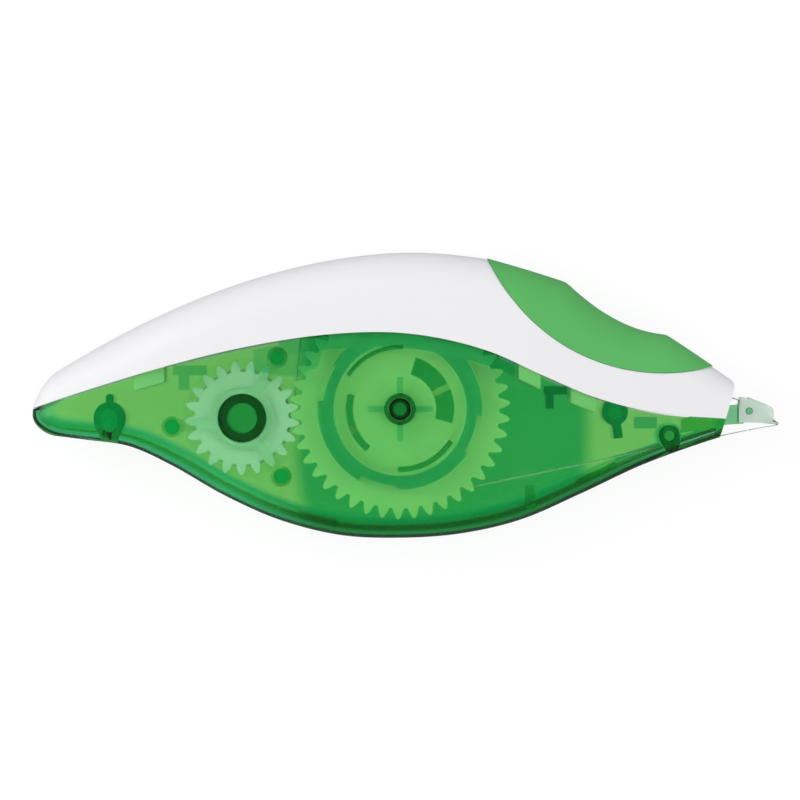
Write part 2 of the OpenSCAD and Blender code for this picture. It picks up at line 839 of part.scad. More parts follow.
// Band of tape along a route
module band(path) {
    n = len(path);
    translate([0, 0, tape_lo]) linear_extrude(tape_w) polygon(concat(
        [for (p = path) p[0] + tape_t / 2 * left_of(p[1])],
        [for (i = [1 : n]) path[n - i][0] - tape_t / 2 * left_of(path[n - i][1])]
    ));
}

lay = roll_gap + tape_t / 2;
blade_edge = [pivot[0] + blade_reach - tip_edge_r, blade_y - 2 * tip_edge_r];
edge_guide = [blade_edge, tip_edge_r + lay];
knuckle_guide = [pivot, knuckle_r + lay];
split_lo = [pivot[0], exit_at[1] + (pivot[0] - exit_at[0]) * exit_slope];

roll_guide = [[0, 0], roll_r + lay];
feed_guide = [feed_post_at, feed_post_r + lay];
exit_guide = [exit_at, 0];
feed_bends = turn(run_angle(roll_guide, feed_guide), run_angle(feed_guide, exit_guide)) > 0.5;

module tape_feed() {
    color([0.97, 0.97, 0.95]) band(route(concat(
        [roll_guide], feed_bends ? [feed_guide] : [], [exit_guide, [split_lo - split_gap, 0]]
    )));
}

module tape_return() {
    color([0.85, 0.8, 0.66]) band(route([
        [pivot + [return_start, knuckle_r + lay], 0], [[guide_at[0], guide_at[1]], guide_r + lay],
        [[-guide_at[0], guide_at[1]], guide_r + lay], [take_up_at, -(drum_r + wound_t + lay)]
    ]));
}

module tape_tip_loop() {
    color([0.97, 0.97, 0.95]) band(route([
        [split_lo + split_gap, 0], edge_guide, knuckle_guide, [pivot + [loop_end, knuckle_r + lay], 0]
    ]));
}

// Tip

// Neck held in the nose, ending in a round knuckle
module tip_holder() {
    color([0.45, 0.75, 0.42]) difference() {
        translate([0, 0, mid - holder_half]) linear_extrude(2 * holder_half) union() {
            translate(pivot) circle(r = knuckle_r);
            translate(pivot) polygon(neck_outline);
        }
        disc(pivot, pin_r + press_gap, mid - tape_w, mid + tape_w);
    }
}

module tip_pin() {
    color([0.3, 0.6, 0.3]) disc(pivot, pin_r, mid - tip_half - plate_t, mid + tip_half + plate_t);
}

// Side plate outline of the tip
module plate_outline() {
    difference() {
        translate(pivot) polygon(concat(
            plate_foot, arc_points(plate_nose, plate_nose_r, 0, 70, 6),
            arc_points(plate_heel, plate_heel_r, 70, 190, 5), [plate_back]
        ));
        translate(pivot) circle(r = pin_r + run_gap);
    }
}

module applicator_tip() {
    color([0.6, 0.84, 0.56]) {
        for (z = [mid - tip_half - plate_t, mid + tip_half])
            translate([0, 0, z]) linear_extrude(plate_t) plate_outline();
        translate([0, 0, mid - tip_half - 0.1]) linear_extrude(2 * tip_half + 0.2) {
            polygon([
                pivot + blade_root[0], blade_edge + [0, -tip_edge_r], blade_edge + [tip_edge_r, 0],
                blade_edge + [tip_edge_r / 2, tip_edge_r], pivot + blade_root[1]
            ]);
            translate(pivot) polygon(bridge_outline);
        }
    }
}
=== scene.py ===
"""Looks of a side-apply correction tape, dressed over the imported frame.

X runs from the tail to the tip, Y towards the white cover and Z up from the table. Shapes are drawn in mm
and turned into metres when a piece is finished.
"""

import json
import math

import bmesh
import bpy
from mathutils import Matrix, Vector


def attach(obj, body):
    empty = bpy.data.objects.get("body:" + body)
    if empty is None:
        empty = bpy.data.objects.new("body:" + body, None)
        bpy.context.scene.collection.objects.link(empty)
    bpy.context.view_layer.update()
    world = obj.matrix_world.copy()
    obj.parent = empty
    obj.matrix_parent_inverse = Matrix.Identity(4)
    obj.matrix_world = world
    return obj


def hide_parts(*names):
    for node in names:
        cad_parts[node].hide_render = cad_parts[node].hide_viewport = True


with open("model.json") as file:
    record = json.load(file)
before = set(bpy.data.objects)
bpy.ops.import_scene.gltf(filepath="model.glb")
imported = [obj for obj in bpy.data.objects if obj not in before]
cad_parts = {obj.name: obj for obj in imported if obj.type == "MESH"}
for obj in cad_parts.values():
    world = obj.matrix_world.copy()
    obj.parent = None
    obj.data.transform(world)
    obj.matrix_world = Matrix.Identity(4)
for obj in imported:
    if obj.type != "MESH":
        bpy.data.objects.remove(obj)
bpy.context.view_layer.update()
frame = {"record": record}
scene = bpy.context.scene

# Sizes of the body, as in the part
MM = 0.001
ORIGIN = (0.0, 0.0)
TAIL_REACH = 61.2
NOSE_REACH = 55.6
CROWN_RISE = 26.0
TAIL_HALF = 4.0
NOSE_HALF = 5.2
HALF_T = 9.0
MID = HALF_T
BODY_T = 2 * HALF_T
WALL = 1.2
SEAM = 0.14
LIFT = 0.02
FIT_GAP = 0.15
RUN_GAP = 0.06
KEEL_ROUND = 5.0
NOSE_KEEL_ROUND = 2.0
CROWN_ROUND = 7.0
GRIP_T = 1.6
GRIP_PROUD = 0.2
GRIP_R = 31.6
GRIP_CENTRE = (43.5, 37.5)
GRIP_BULGE = 0.1
NOSE_BULGE = 0.1
HOLLOW_DEPTH = 1.85

# Sizes of the gears
GEAR_MODULE = 0.832
SUPPLY_TEETH = 42
TAKE_UP_TEETH = 21
PRESSURE_ANGLE = math.radians(25)
BACKLASH = 0.2
ROOT_DEPTH = 1.2
TIP_HEIGHT = 0.95
TIP_ROUNDING = 0.16
MESH_ANGLE = math.radians(183.3)
SUPPLY_TIP_R = GEAR_MODULE * (SUPPLY_TEETH / 2 + TIP_HEIGHT)
TAKE_UP_TIP_R = GEAR_MODULE * (TAKE_UP_TEETH / 2 + TIP_HEIGHT)
CENTRE_DISTANCE = GEAR_MODULE * (SUPPLY_TEETH + TAKE_UP_TEETH) / 2
TAKE_UP_AT = (CENTRE_DISTANCE * math.cos(MESH_ANGLE), CENTRE_DISTANCE * math.sin(MESH_ANGLE))
GEAR_LO = 11.9
GEAR_HI = 13.9
RIB_LO = 14.2
TAPE_LO = 6.5
TAPE_HI = 11.5
FLANGE_LO = 5.4
FLANGE_HI = 6.2

# Sizes of the reels, axles and tape
AXLE_R = 1.8
AXLE_BORE_R = 1.1
AXLE_TOP = 16.5
HUB_R = 3.4
HUB_LO = 5.2
HUB_WALL = 1.1
HUB_RING_R = 2.6
TUBE_R = 4.0
TUBE_BORE_R = 2.5
TUBE_TOP = 15.4
BORE_FLOOR = 1.0
CORE_R = 11.2
CORE_WALL = 0.8
ROLL_R = 14.9
REEL_FLANGE_R = 15.8
DRUM_R = 7.6
WOUND_T = 0.4
TAKE_UP_FLANGE_R = 9.93
TAPE_T = 0.12
TAPE_GAP = 0.1
TAPE_LAY = TAPE_GAP + TAPE_T / 2
GUIDE_AT = (14.5, 15.0)
GUIDE_R = 1.5
GUIDE_LO = 2.35
GUIDE_PAST = 0.2
PAD_FLOOR = 2.2

# Outline of the body seen from the front
BELLY_DEPTH = SUPPLY_TIP_R + 1.9 + WALL
TAIL_FLAT = CENTRE_DISTANCE + 3.8
NOSE_FLAT = 20.0
TAIL_MID = -0.9
TAIL_ROUND = 4.0
TAIL_POWER = 1.6
NOSE_POWER = 1.25
CROWN_X = 2.0
CROWN_AT_TAIL = 3.6
CROWN_POWER = 1.86
GRIP_START_X = 14.1
HOLLOW_START = (27.6, 20.9)
HOLLOW_END = (44.3, 12.2)
HOLLOW_EASE = 0.4
NOSE_TOP = (NOSE_REACH, 4.5)
NOSE_CORNER_Y = 3.8
NOSE_SLOPE = 0.298
NOSE_TOP_SLOPE = 0.72
NOSE_CORNER_AT = (54.03, 3.78)
NOSE_CORNER_R = 1.5
NOSE_CORNER_SWEEP = (-16.5, 54.5)
KEEL_KNOTS = (
    (-1, -0.19), (-0.85, -0.241), (-0.735, -0.29), (-0.62, -0.436), (-0.475, -0.672), (-0.327, -0.86),
    (-0.163, -0.978), (0, -1), (0.18, -0.967), (0.36, -0.859), (0.54, -0.656), (0.72, -0.437),
    (0.9, -0.265), (1.04, -0.155),
)
PARTING_KNOTS = (
    (-1, 0), (-0.82, 0.138), (-0.62, 0.277), (-0.425, 0.388), (-0.23, 0.463), (-0.05, 0.487),
    (0.108, 0.452), (0.27, 0.36), (0.43, 0.206), (0.594, 0.062), (0.773, -0.029), (1, -0.067),
)

# Reach of cutters past the body, and fineness of the meshes
FAR = 100.0
FAR_Y = 60.0
PAST = 1.0
STATION_STEP = 0.8
TURN_STEPS = 96
OUTSIDE_STEPS = 14
INSIDE_STEPS = 10
NOSE_CORNER_STEPS = 10
MERGE_DISTANCE = 1e-5


# Curves of the outline

def placed(knots, height):
    """Knots in mm, given as shares of the reach and of the height."""
    return [(x * (TAIL_REACH if x < 0 else NOSE_REACH), y * height) for x, y in knots]


KEEL_CURVE = placed(KEEL_KNOTS, BELLY_DEPTH)
PARTING_CURVE = placed(PARTING_KNOTS, CROWN_RISE)


def knot_slope(knots, i):
    """Slope of the curve at one of its knots."""
    before = knots[max(i - 1, 0)]
    after = knots[min(i + 1, len(knots) - 1)]
    return (after[1] - before[1]) / (after[0] - before[0])


def along(knots, x):
    """Height at x of the smooth curve through the knots."""
    i = 0
    while i < len(knots) - 2 and x >= knots[i + 1][0]:
        i += 1
    (x0, y0), (x1, y1) = knots[i], knots[i + 1]
    h = x1 - x0
    s = (x - x0) / h
    m0 = knot_slope(knots, i) * h
    m1 = knot_slope(knots, i + 1) * h
    return y0 + s * (m0 + s * (3 * (y1 - y0) - 2 * m0 - m1 + s * (2 * (y0 - y1) + m0 + m1)))


def bowed(a, b, bulge, x):
    """Height at x of a straight line from a to b with a parabolic bulge."""
    s = (x - a[0]) / (b[0] - a[0])
    return a[1] + (b[1] - a[1]) * s + 4 * bulge * s * (1 - s)


def crown_y(x):
    share = abs(x - CROWN_X) / (TAIL_REACH + CROWN_X)
    return CROWN_RISE - (CROWN_RISE - CROWN_AT_TAIL) * share ** CROWN_POWER


def keel_y(x):
    return along(KEEL_CURVE, x)


def parting_y(x):
    return along(PARTING_CURVE, min(max(x, -TAIL_REACH), NOSE_REACH))


def sharp_top_y(x):
    """Top outline from the crown over the grip and its finger hollow to the nose."""
    if x < GRIP_START_X:
        return crown_y(x)
    if x < HOLLOW_START[0]:
        return bowed((GRIP_START_X, crown_y(GRIP_START_X)), HOLLOW_START, GRIP_BULGE, x)
    if x < HOLLOW_END[0]:
        return bowed(HOLLOW_START, HOLLOW_END, -HOLLOW_DEPTH, x)
    return bowed(HOLLOW_END, NOSE_TOP, NOSE_BULGE, x)


def top_y(x):
    """Top outline with the corners of the finger hollow slightly rounded."""
    steps = 4
    heights = [sharp_top_y(x + HOLLOW_EASE * i / steps) for i in range(-steps, steps + 1)]
    return sum(heights) / len(heights)


def side_z(x):
    """Half width of the body."""
    if x < -TAIL_FLAT:
        share = (-x - TAIL_FLAT) / (TAIL_REACH - TAIL_FLAT)
        return HALF_T - (HALF_T - TAIL_HALF) * share ** TAIL_POWER
    if x > NOSE_FLAT:
        share = (x - NOSE_FLAT) / (NOSE_REACH - NOSE_FLAT)
        return HALF_T - (HALF_T - NOSE_HALF) * share ** NOSE_POWER
    return HALF_T


def keel_round_at(x):
    """Rounding of the keel edges, tighter towards the nose."""
    share = min(1, max(0, (x - NOSE_FLAT) / (NOSE_REACH - NOSE_FLAT)))
    return KEEL_ROUND - (KEEL_ROUND - NOSE_KEEL_ROUND) * share


def stretch(height, x):
    """Lengthening of a wall measured along Y on a sloping outline."""
    reach = 0.2
    return math.hypot(1, (height(x + reach) - height(x - reach)) / (2 * reach))


# Plain solids in mm

def closed_mesh(name, points, faces):
    """Mesh of a closed solid with its faces turned outwards."""
    mesh = bpy.data.meshes.new(name)
    mesh.from_pydata(points, [], faces)
    work = bmesh.new()
    work.from_mesh(mesh)
    bmesh.ops.remove_doubles(work, verts=work.verts, dist=MERGE_DISTANCE)
    bmesh.ops.recalc_face_normals(work, faces=work.faces)
    work.to_mesh(mesh)
    work.free()
    return mesh


def skinned(name, rings):
    """Closed solid through a row of rings with equal counts, with a flat face at each end."""
    n = len(rings[0])
    points = [point for ring in rings for point in ring]
    faces = [tuple(range(n)), tuple(range((len(rings) - 1) * n, len(rings) * n))]
    for i in range(len(rings) - 1):
        for j in range(n):
            k = (j + 1) % n
            faces.append((i * n + j, i * n + k, (i + 1) * n + k, (i + 1) * n + j))
    return closed_mesh(name, points, faces)


def prism(outline, lo, hi):
    """Side-view outline drawn out between two levels."""
    return skinned("prism", [[(x, y, z) for x, y in outline] for z in (lo, hi)])


def around(centre, radius, degrees):
    """Point at a distance and in a direction from a centre."""
    angle = math.radians(degrees)
    return centre[0] + radius * math.cos(angle), centre[1] + radius * math.sin(angle)


def arc(centre, radius, start, end, steps):
    """Points of an arc given in degrees."""
    return [around(centre, radius, start + (end - start) * i / steps) for i in range(steps + 1)]


def circle(centre, radius, count):
    return arc(centre, radius, 0, 360 * (count - 1) / count, count - 1)


def turned(profile, at):
    """Solid turned round an upright axis from a closed outline of radius and level pairs."""
    n = len(profile)
    points = []
    for i in range(TURN_STEPS):
        a = 2 * math.pi * i / TURN_STEPS
        points += [(at[0] + r * math.cos(a), at[1] + r * math.sin(a), z) for r, z in profile]
    faces = []
    for i in range(TURN_STEPS):
        here, there = i * n, (i + 1) % TURN_STEPS * n
        for j in range(n):
            k = (j + 1) % n
            faces.append((here + j, here + k, there + k, there + j))
    return closed_mesh("turned", points, faces)


def eased(inner, outer, lo, hi, ease=0.15):
    """Outline of a tube wall whose outer corners are eased."""
    bend = 0.3 * ease
    return [
        (inner, lo), (outer - ease, lo), (outer - bend, lo + bend), (outer, lo + ease),
        (outer, hi - ease), (outer - bend, hi - bend), (outer - ease, hi), (inner, hi),
    ]


def eased_ring(at, inner, outer, lo, hi):
    return turned(eased(inner, outer, lo, hi), at)


def disc(at, radius, lo, hi):
    return prism(circle(at, radius, TURN_STEPS), lo, hi)


def tube(at, inner, outer, lo, hi):
    return turned([(inner, lo), (outer, lo), (outer, hi), (inner, hi)], at)


def arc_wall(start, sweep, inner, outer, lo, hi):
    """Curved wall about the supply axis, given in degrees."""
    step, fewest = 2.5, 6
    count = max(fewest, round(sweep / step))
    end = start + sweep
    return prism(arc(ORIGIN, outer, start, end, count) + arc(ORIGIN, inner, end, start, count), lo, hi)


def bar(a, b, width, lo, hi):
    """Straight bar between two side-view points."""
    d = Vector((b[0] - a[0], b[1] - a[1])).normalized() * width / 2
    right = [(a[0] + d.y, a[1] - d.x), (b[0] + d.y, b[1] - d.x)]
    left = [(b[0] - d.y, b[1] + d.x), (a[0] - d.y, a[1] + d.x)]
    return prism(right + left, lo, hi)


def block(a, b, lo, hi):
    return prism([a, (b[0], a[1]), b, (a[0], b[1])], lo, hi)


# Joining and cutting

def shown(name, data):
    """Object in the scene that holds the given data."""
    holder = bpy.data.objects.new(name, data)
    scene.collection.objects.link(holder)
    return holder


def evaluated_mesh(holder):
    """Plain mesh of an object as its modifiers leave it."""
    graph = bpy.context.evaluated_depsgraph_get()
    return bpy.data.meshes.new_from_object(holder.evaluated_get(graph))


def carved(base, tool, operation):
    """Mesh of one closed solid joined with, cut by or kept inside another, both used up."""
    base_object = shown("blank", base)
    tool_object = shown("tool", tool)
    step = base_object.modifiers.new("carve", "BOOLEAN")
    step.operation = operation
    step.solver = "MANIFOLD"
    step.object = tool_object
    result = evaluated_mesh(base_object)
    for part in (base_object, tool_object):
        bpy.data.objects.remove(part)
    for mesh in (base, tool):
        bpy.data.meshes.remove(mesh)
    return result


def joined(base, *tools):
    for tool in tools:
        base = carved(base, tool, "UNION")
    return base


def cut(base, *tools):
    for tool in tools:
        base = carved(base, tool, "DIFFERENCE")
    return base


def kept(base, *tools):
    for tool in tools:
        base = carved(base, tool, "INTERSECT")
    return base


# Body of the case

NOSE_OVERRUN = 2.0
CLOSING_POWER = 0.7
LEAST_ROUND = 1.0
ROUND_OF_HEIGHT = 0.48
ROUND_OF_WIDTH = 0.95


def stations(inset):
    """Places of the sections from the tail to just past the nose, close together at the tail."""
    start = -TAIL_REACH + inset
    end_gap = 0.02
    cap_steps = 20
    shares = [1 - math.cos(math.pi / 2 * i / cap_steps) for i in range(cap_steps)]
    xs = [start + end_gap + (TAIL_ROUND - end_gap) * share for share in shares]
    marks = (
        start + TAIL_ROUND, -TAIL_FLAT, GRIP_START_X, HOLLOW_START[0], HOLLOW_END[0],
        NOSE_REACH + NOSE_OVERRUN,
    )
    for a, b in zip(marks, marks[1:]):
        count = math.ceil((b - a) / STATION_STEP)
        xs += [a + (b - a) * i / count for i in range(count)]
    return xs + [marks[-1]]


def section(x, inset, steps):
    """One section of the body, a rectangle with rounded corners."""
    s = min(1, max(0, (x + TAIL_REACH - inset) / TAIL_ROUND))
    closing = math.sqrt(1 - (1 - s) ** 2)
    hi = TAIL_MID + (top_y(x) - inset * stretch(top_y, x) - TAIL_MID) * closing
    lo = TAIL_MID + (keel_y(x) + inset * stretch(keel_y, x) - TAIL_MID) * closing
    w = (side_z(x) - inset) * closing ** CLOSING_POWER
    most = min(ROUND_OF_HEIGHT * (hi - lo), ROUND_OF_WIDTH * w)
    top = min(max(CROWN_ROUND - inset, LEAST_ROUND), most)
    low = min(max(keel_round_at(x) - inset, LEAST_ROUND), most)
    corners = (
        arc((hi - top, w - top), top, 90, 0, steps) + arc((hi - top, top - w), top, 0, -90, steps)
        + arc((lo + low, low - w), low, 270, 180, steps) + arc((lo + low, w - low), low, 180, 90, steps)
    )
    return [(x, y, MID + z) for y, z in corners]


def nose_side(inset):
    """Everything behind the sloping nose face and its rounded top corner."""
    x = NOSE_REACH - inset * math.hypot(1, NOSE_SLOPE)
    corner = arc(NOSE_CORNER_AT, NOSE_CORNER_R - inset, *NOSE_CORNER_SWEEP, NOSE_CORNER_STEPS)
    top_x, top_end_y = corner[-1]
    return [
        (-FAR, -FAR_Y), (x - (FAR_Y + NOSE_CORNER_Y) * NOSE_SLOPE, -FAR_Y), *corner,
        (top_x - FAR_Y, top_end_y + NOSE_TOP_SLOPE * FAR_Y), (-FAR, FAR_Y),
    ]


def tall(outline):
    """Side-view outline drawn out past both sides of the body."""
    return prism(outline, -PAST, BODY_T + PAST)


def body(inset, steps=INSIDE_STEPS):
    """Whole body set in from the outside by the given depth."""
    loft = skinned("body", [section(x, inset, steps) for x in stations(inset)])
    return kept(loft, tall(nose_side(inset)))


def parting_points(shift):
    count = 150
    inside = [-TAIL_REACH + (TAIL_REACH + NOSE_REACH) * i / count for i in range(count + 1)]
    return [(x, parting_y(x) + shift) for x in [-FAR, *inside, FAR]]


def above_parting(gap):
    return tall(parting_points(gap) + [(FAR, FAR_Y), (-FAR, FAR_Y)])


def below_parting(gap):
    return tall(parting_points(-gap) + [(FAR, -FAR_Y), (-FAR, -FAR_Y)])


def layer(lo, hi):
    """Everything between two levels."""
    return block((-FAR, -FAR_Y), (FAR, FAR_Y), lo, hi)


EXIT_AT = (NOSE_REACH - 2.5, -4.55)
EXIT_SLOPE = 0.205
EXIT_ROOM = 0.45
SLOT_HALF = 3.2
SLOT_TOP = 2.7
SLOT_LOW = -3.0
SLOT_DEPTH = 4.0
SLOT_PAST = 5.0
GROOVE_REACH = 11.0


def nose_slot():
    """Slot in the nose for the neck of the tip and the tape, with a groove for the tape in the keel."""
    low_x, low_y = EXIT_AT[0], EXIT_AT[1] - EXIT_ROOM
    groove_x = low_x - GROOVE_REACH
    past = NOSE_REACH + SLOT_PAST
    back = NOSE_REACH - SLOT_DEPTH
    outline = [
        (groove_x, low_y - GROOVE_REACH * EXIT_SLOPE), (past, low_y + (past - low_x) * EXIT_SLOPE),
        (past, SLOT_TOP), (back, SLOT_TOP), (back, SLOT_LOW), (groove_x, SLOT_LOW),
    ]
    return prism(outline, MID - SLOT_HALF, MID + SLOT_HALF)


def half_case(lo, hi):
    """Half of the case below the parting line."""
    shell = kept(body(0, OUTSIDE_STEPS), below_parting(SEAM / 2), layer(lo, hi))
    return cut(shell, body(WALL), nose_slot())


def in_case(part):
    """Part of a rib that lies inside the case below the parting line."""
    return kept(part, body(WALL / 2), below_parting(SEAM / 2))


# Bosses that both halves share, and the pins between them

SNAP_AT = (-48.0, -1.5)
SNAP_R = 2.7
SNAP_KEY_REACH = 3.4
SNAP_KEY_W = 1.3
SNAP_FOOT = ((-2.34, -1.35), (-0.81, -4), (0.81, -4), (2.34, -1.35))
SNAP_PIN = (0.7, 1.4)
SNAP_PIN_RISE = 2.4
NOSE_BOSS_AT = (NOSE_REACH - 20.1, -0.5)
NOSE_BOSS_R = 2.17
NOSE_BOSS_FOOT = (0.6, -4.3)
NOSE_BOSS_FOOT_W = 1.5
NOSE_PIN = (0.5, 1.1)
NOSE_PIN_RISE = 2.0
PIN_ROOT = 1.0
PIN_END_GAP = 0.2
FEED_POST_AT = (NOSE_REACH - 11.1, -4.33)
FEED_POST_R = 1.7
FEED_POST_PAST = 0.3
FEED_CUP_R = 0.85
FEED_CUP_LO = 10.8
FEED_CUP_PAST = 0.5
FEED_BOSS_R = 2.1
FEED_BOSS_GAP = 0.32


def snap_boss(lo, hi):
    """Snap boss of the tail with its key and its tapered foot."""
    x, y = SNAP_AT
    key_end = (x, y + SNAP_KEY_REACH)
    key = joined(bar(SNAP_AT, key_end, SNAP_KEY_W, lo, hi), disc(key_end, SNAP_KEY_W / 2, lo, hi))
    foot = prism([(x + dx, y + dy) for dx, dy in SNAP_FOOT], lo, hi)
    return joined(disc(SNAP_AT, SNAP_R, lo, hi), key, foot)


def nose_boss(lo, hi):
    """Boss of the nose with its slanting foot."""
    foot_end = (NOSE_BOSS_AT[0] + NOSE_BOSS_FOOT[0], NOSE_BOSS_AT[1] + NOSE_BOSS_FOOT[1])
    return joined(
        disc(NOSE_BOSS_AT, NOSE_BOSS_R, lo, hi), bar(NOSE_BOSS_AT, foot_end, NOSE_BOSS_FOOT_W, lo, hi),
    )


# Rear half of the case

REEL_RING = (11.4, 12.4)
REEL_RING_TOP = 5.1
PAD_MARGIN = 1.0
TONGUE_MARGIN = 0.7
TONGUE_LOW = 6.0
KEEL_TABS = ((-16.8, -10.5), (NOSE_REACH - 26, NOSE_REACH - 19.8))
KEEL_TAB_T = 1.0
KEEL_TAB_REACH = 3.0
RETAINER_T = 0.8
RETAINER_REACH = TAKE_UP_TIP_R + 2.1
RETAINER_ANGLES = (60, 187, 304)
RETAINER_FOOT_R = 1.3
RETAINER_PIN_R = 0.8
RETAINER_PIN_PAST = 0.2


def keel_tab(start, end, lo, hi, outer, inner):
    """Strip along the keel between two depths."""
    steps = 4
    xs = [start + (end - start) * i / steps for i in range(steps + 1)]
    low = [(x, keel_y(x) + outer * stretch(keel_y, x)) for x in xs]
    high = [(x, keel_y(x) + inner * stretch(keel_y, x)) for x in reversed(xs)]
    return prism(low + high, lo, hi)


def rear_shell():
    """Far half of the case with its ring, pad, bosses, pins, feet, tongue and keel tabs."""
    root = WALL / 2
    top = MID - SEAM / 2
    pin_lo = MID - PIN_ROOT
    ribs = [
        tube(ORIGIN, *REEL_RING, root, REEL_RING_TOP), disc(TAKE_UP_AT, TUBE_R + PAD_MARGIN, root, PAD_FLOOR),
        in_case(snap_boss(0, top)), in_case(nose_boss(0, top)),
        in_case(tube(FEED_POST_AT, FEED_CUP_R, FEED_BOSS_R, 0, TAPE_LO - FEED_BOSS_GAP)),
        tube(SNAP_AT, *SNAP_PIN, pin_lo, MID + SNAP_PIN_RISE),
        tube(NOSE_BOSS_AT, *NOSE_PIN, pin_lo, MID + NOSE_PIN_RISE),
    ]
    for angle in RETAINER_ANGLES:
        at = around(TAKE_UP_AT, RETAINER_REACH, angle)
        pin_top = RIB_LO + RETAINER_T + RETAINER_PIN_PAST
        ribs.append(disc(at, RETAINER_FOOT_R, MID - side_z(at[0]) + root, RIB_LO - LIFT))
        ribs.append(disc(at, RETAINER_PIN_R, RIB_LO - PIN_ROOT, pin_top))
    tongue_lo = (-GUIDE_AT[0] - GUIDE_R - TONGUE_MARGIN, TONGUE_LOW)
    tongue_hi = (-tongue_lo[0], GUIDE_AT[1] + GUIDE_R + TONGUE_MARGIN)
    ribs.append(block(tongue_lo, tongue_hi, WALL + FIT_GAP, GUIDE_LO))
    ribs.append(kept(block(tongue_lo, tongue_hi, root, GUIDE_LO), below_parting(SEAM)))
    tab_inner = WALL + KEEL_TAB_T
    for span in KEEL_TABS:
        ribs.append(keel_tab(*span, MID - KEEL_TAB_REACH, top, root, tab_inner))
        ribs.append(keel_tab(*span, pin_lo, MID + KEEL_TAB_REACH, WALL + 2 * FIT_GAP, tab_inner))
    return joined(half_case(-PAST, top), *ribs)


# Front half of the case

RIM = (11.0, 12.7)
RIM_LAP = 0.5
RIM_ARCS = ((-5, 65, 0.9), (114, 33, 0.6), (174, 66, 0.9), (268, 59, 0.6))
SPOKE_ANGLES = (0, 90, 180, 270)
SPOKE_REACH = (2.4, 5.3)
SPOKE_W = 1.0
SPOKE_LO = RIB_LO + 0.8
KEEL_STOP = ((20.7, -16), (22.2, -12.6))
CATCHES = (
    ((-34.7, 5.6), (5.5, 1.6), (1.7, 2.4), RIB_LO + 0.2),
    ((NOSE_REACH - 29.9, 2.4), (3.9, 1.4), (1.3, 2.3), MID + 1.5),
)
CATCH_STEM_OFFSET = 1.0
CATCH_STEM_LAP = 0.5
NOSE_PAD = ((NOSE_REACH - 16.8, -3.2), (NOSE_REACH - 13.1, -1.3))
NOSE_PAD_GAP = 0.3
TOP_PAD = ((-24.2, 6.2), (-17.4, 5.4), (-13.6, 7), (-12.4, 11.9), (-24.2, 9.8))
TOP_PAD_LO = 15.4
LIP_SPAN = (-20.0, 19.0)
LIP_DEPTH = 2.4
LIP_LO = 14.6
HUB_RING_GAP = 0.2


def catch(at, bar_size, stem_size, lo):
    """Catch seen from the front as a T whose stem stands off the middle."""
    x, y = at
    stem_x = x - CATCH_STEM_OFFSET
    bar_half, stem_half = bar_size[0] / 2, stem_size[0] / 2
    return joined(
        block((x - bar_half, y), (x + bar_half, y + bar_size[1]), lo, BODY_T),
        block((stem_x - stem_half, y - stem_size[1]), (stem_x + stem_half, y + CATCH_STEM_LAP), lo, BODY_T),
    )


def crown_lip():
    """Thick lip of the front half along the crown of the parting line."""
    strip = cut(below_parting(SEAM / 2), below_parting(LIP_DEPTH))
    return kept(strip, block((LIP_SPAN[0], 0), (LIP_SPAN[1], CROWN_RISE), LIP_LO, BODY_T), body(WALL / 2))


def ring_rib(hi):
    """Ring rib over the supply gear, wider along four arcs."""
    rim = tube(ORIGIN, *RIM, RIB_LO, hi)
    for start, sweep, extra in RIM_ARCS:
        rim = joined(rim, arc_wall(start, sweep, RIM[1] - RIM_LAP, RIM[1] + extra, RIB_LO, hi))
    return kept(rim, below_parting(SEAM / 2))


def feed_cup():
    """Hollow in the front boss for the end of the feed guide, open towards the crown."""
    x, y = FEED_POST_AT
    hi = MID + side_z(x) - WALL
    mouth = (x, y + FEED_BOSS_R + FEED_CUP_PAST)
    hollow = disc(FEED_POST_AT, FEED_CUP_R, FEED_CUP_LO, hi)
    return joined(hollow, bar(FEED_POST_AT, mouth, 2 * FEED_CUP_R, FEED_CUP_LO, hi))


def pin_hole(at, pin, rise):
    return disc(at, pin[1] + FIT_GAP, MID - PIN_ROOT, MID + rise + PIN_END_GAP)


def front_shell():
    """Near half of the case with its lip, ring rib, spokes, bosses, catches and pads."""
    lo = MID + SEAM / 2
    inside = BODY_T - WALL / 2
    ribs = [crown_lip(), ring_rib(inside)]
    for angle in SPOKE_ANGLES:
        ends = [around(ORIGIN, reach, angle) for reach in SPOKE_REACH]
        ribs.append(bar(*ends, SPOKE_W, SPOKE_LO, inside))
    ribs.append(block(*KEEL_STOP, GEAR_HI, BODY_T - 2 * WALL))
    ribs += [
        in_case(snap_boss(lo, BODY_T)), in_case(nose_boss(lo, BODY_T)),
        in_case(disc(FEED_POST_AT, FEED_BOSS_R, TAPE_HI + FEED_BOSS_GAP, BODY_T)),
        *[in_case(catch(*form)) for form in CATCHES],
        in_case(block(*NOSE_PAD, TAPE_HI + NOSE_PAD_GAP, BODY_T)),
        in_case(prism(TOP_PAD, TOP_PAD_LO, BODY_T)),
    ]
    half = joined(half_case(lo, BODY_T + PAST), *ribs)
    holes = pin_hole(SNAP_AT, SNAP_PIN, SNAP_PIN_RISE), pin_hole(NOSE_BOSS_AT, NOSE_PIN, NOSE_PIN_RISE)
    return cut(half, feed_cup(), *holes)


def front_hub_ring():
    """Ring of the front half that keeps the end of the supply axle in place."""
    return eased_ring(ORIGIN, AXLE_R + FIT_GAP, HUB_RING_R, RIB_LO + HUB_RING_GAP, BODY_T - WALL - LIFT)


# Cover and grip

COVER_TABS = ((-44, -39), (NOSE_REACH - 36, NOSE_REACH - 32.4), (NOSE_REACH - 27.4, NOSE_REACH - 23.2))
TAB_RISE = 1.8
TAB_DROP = 2.4
TAB_T = 1.0
TAB_ROOT_T = 0.5
GRIP_EDGE_STEPS = 240


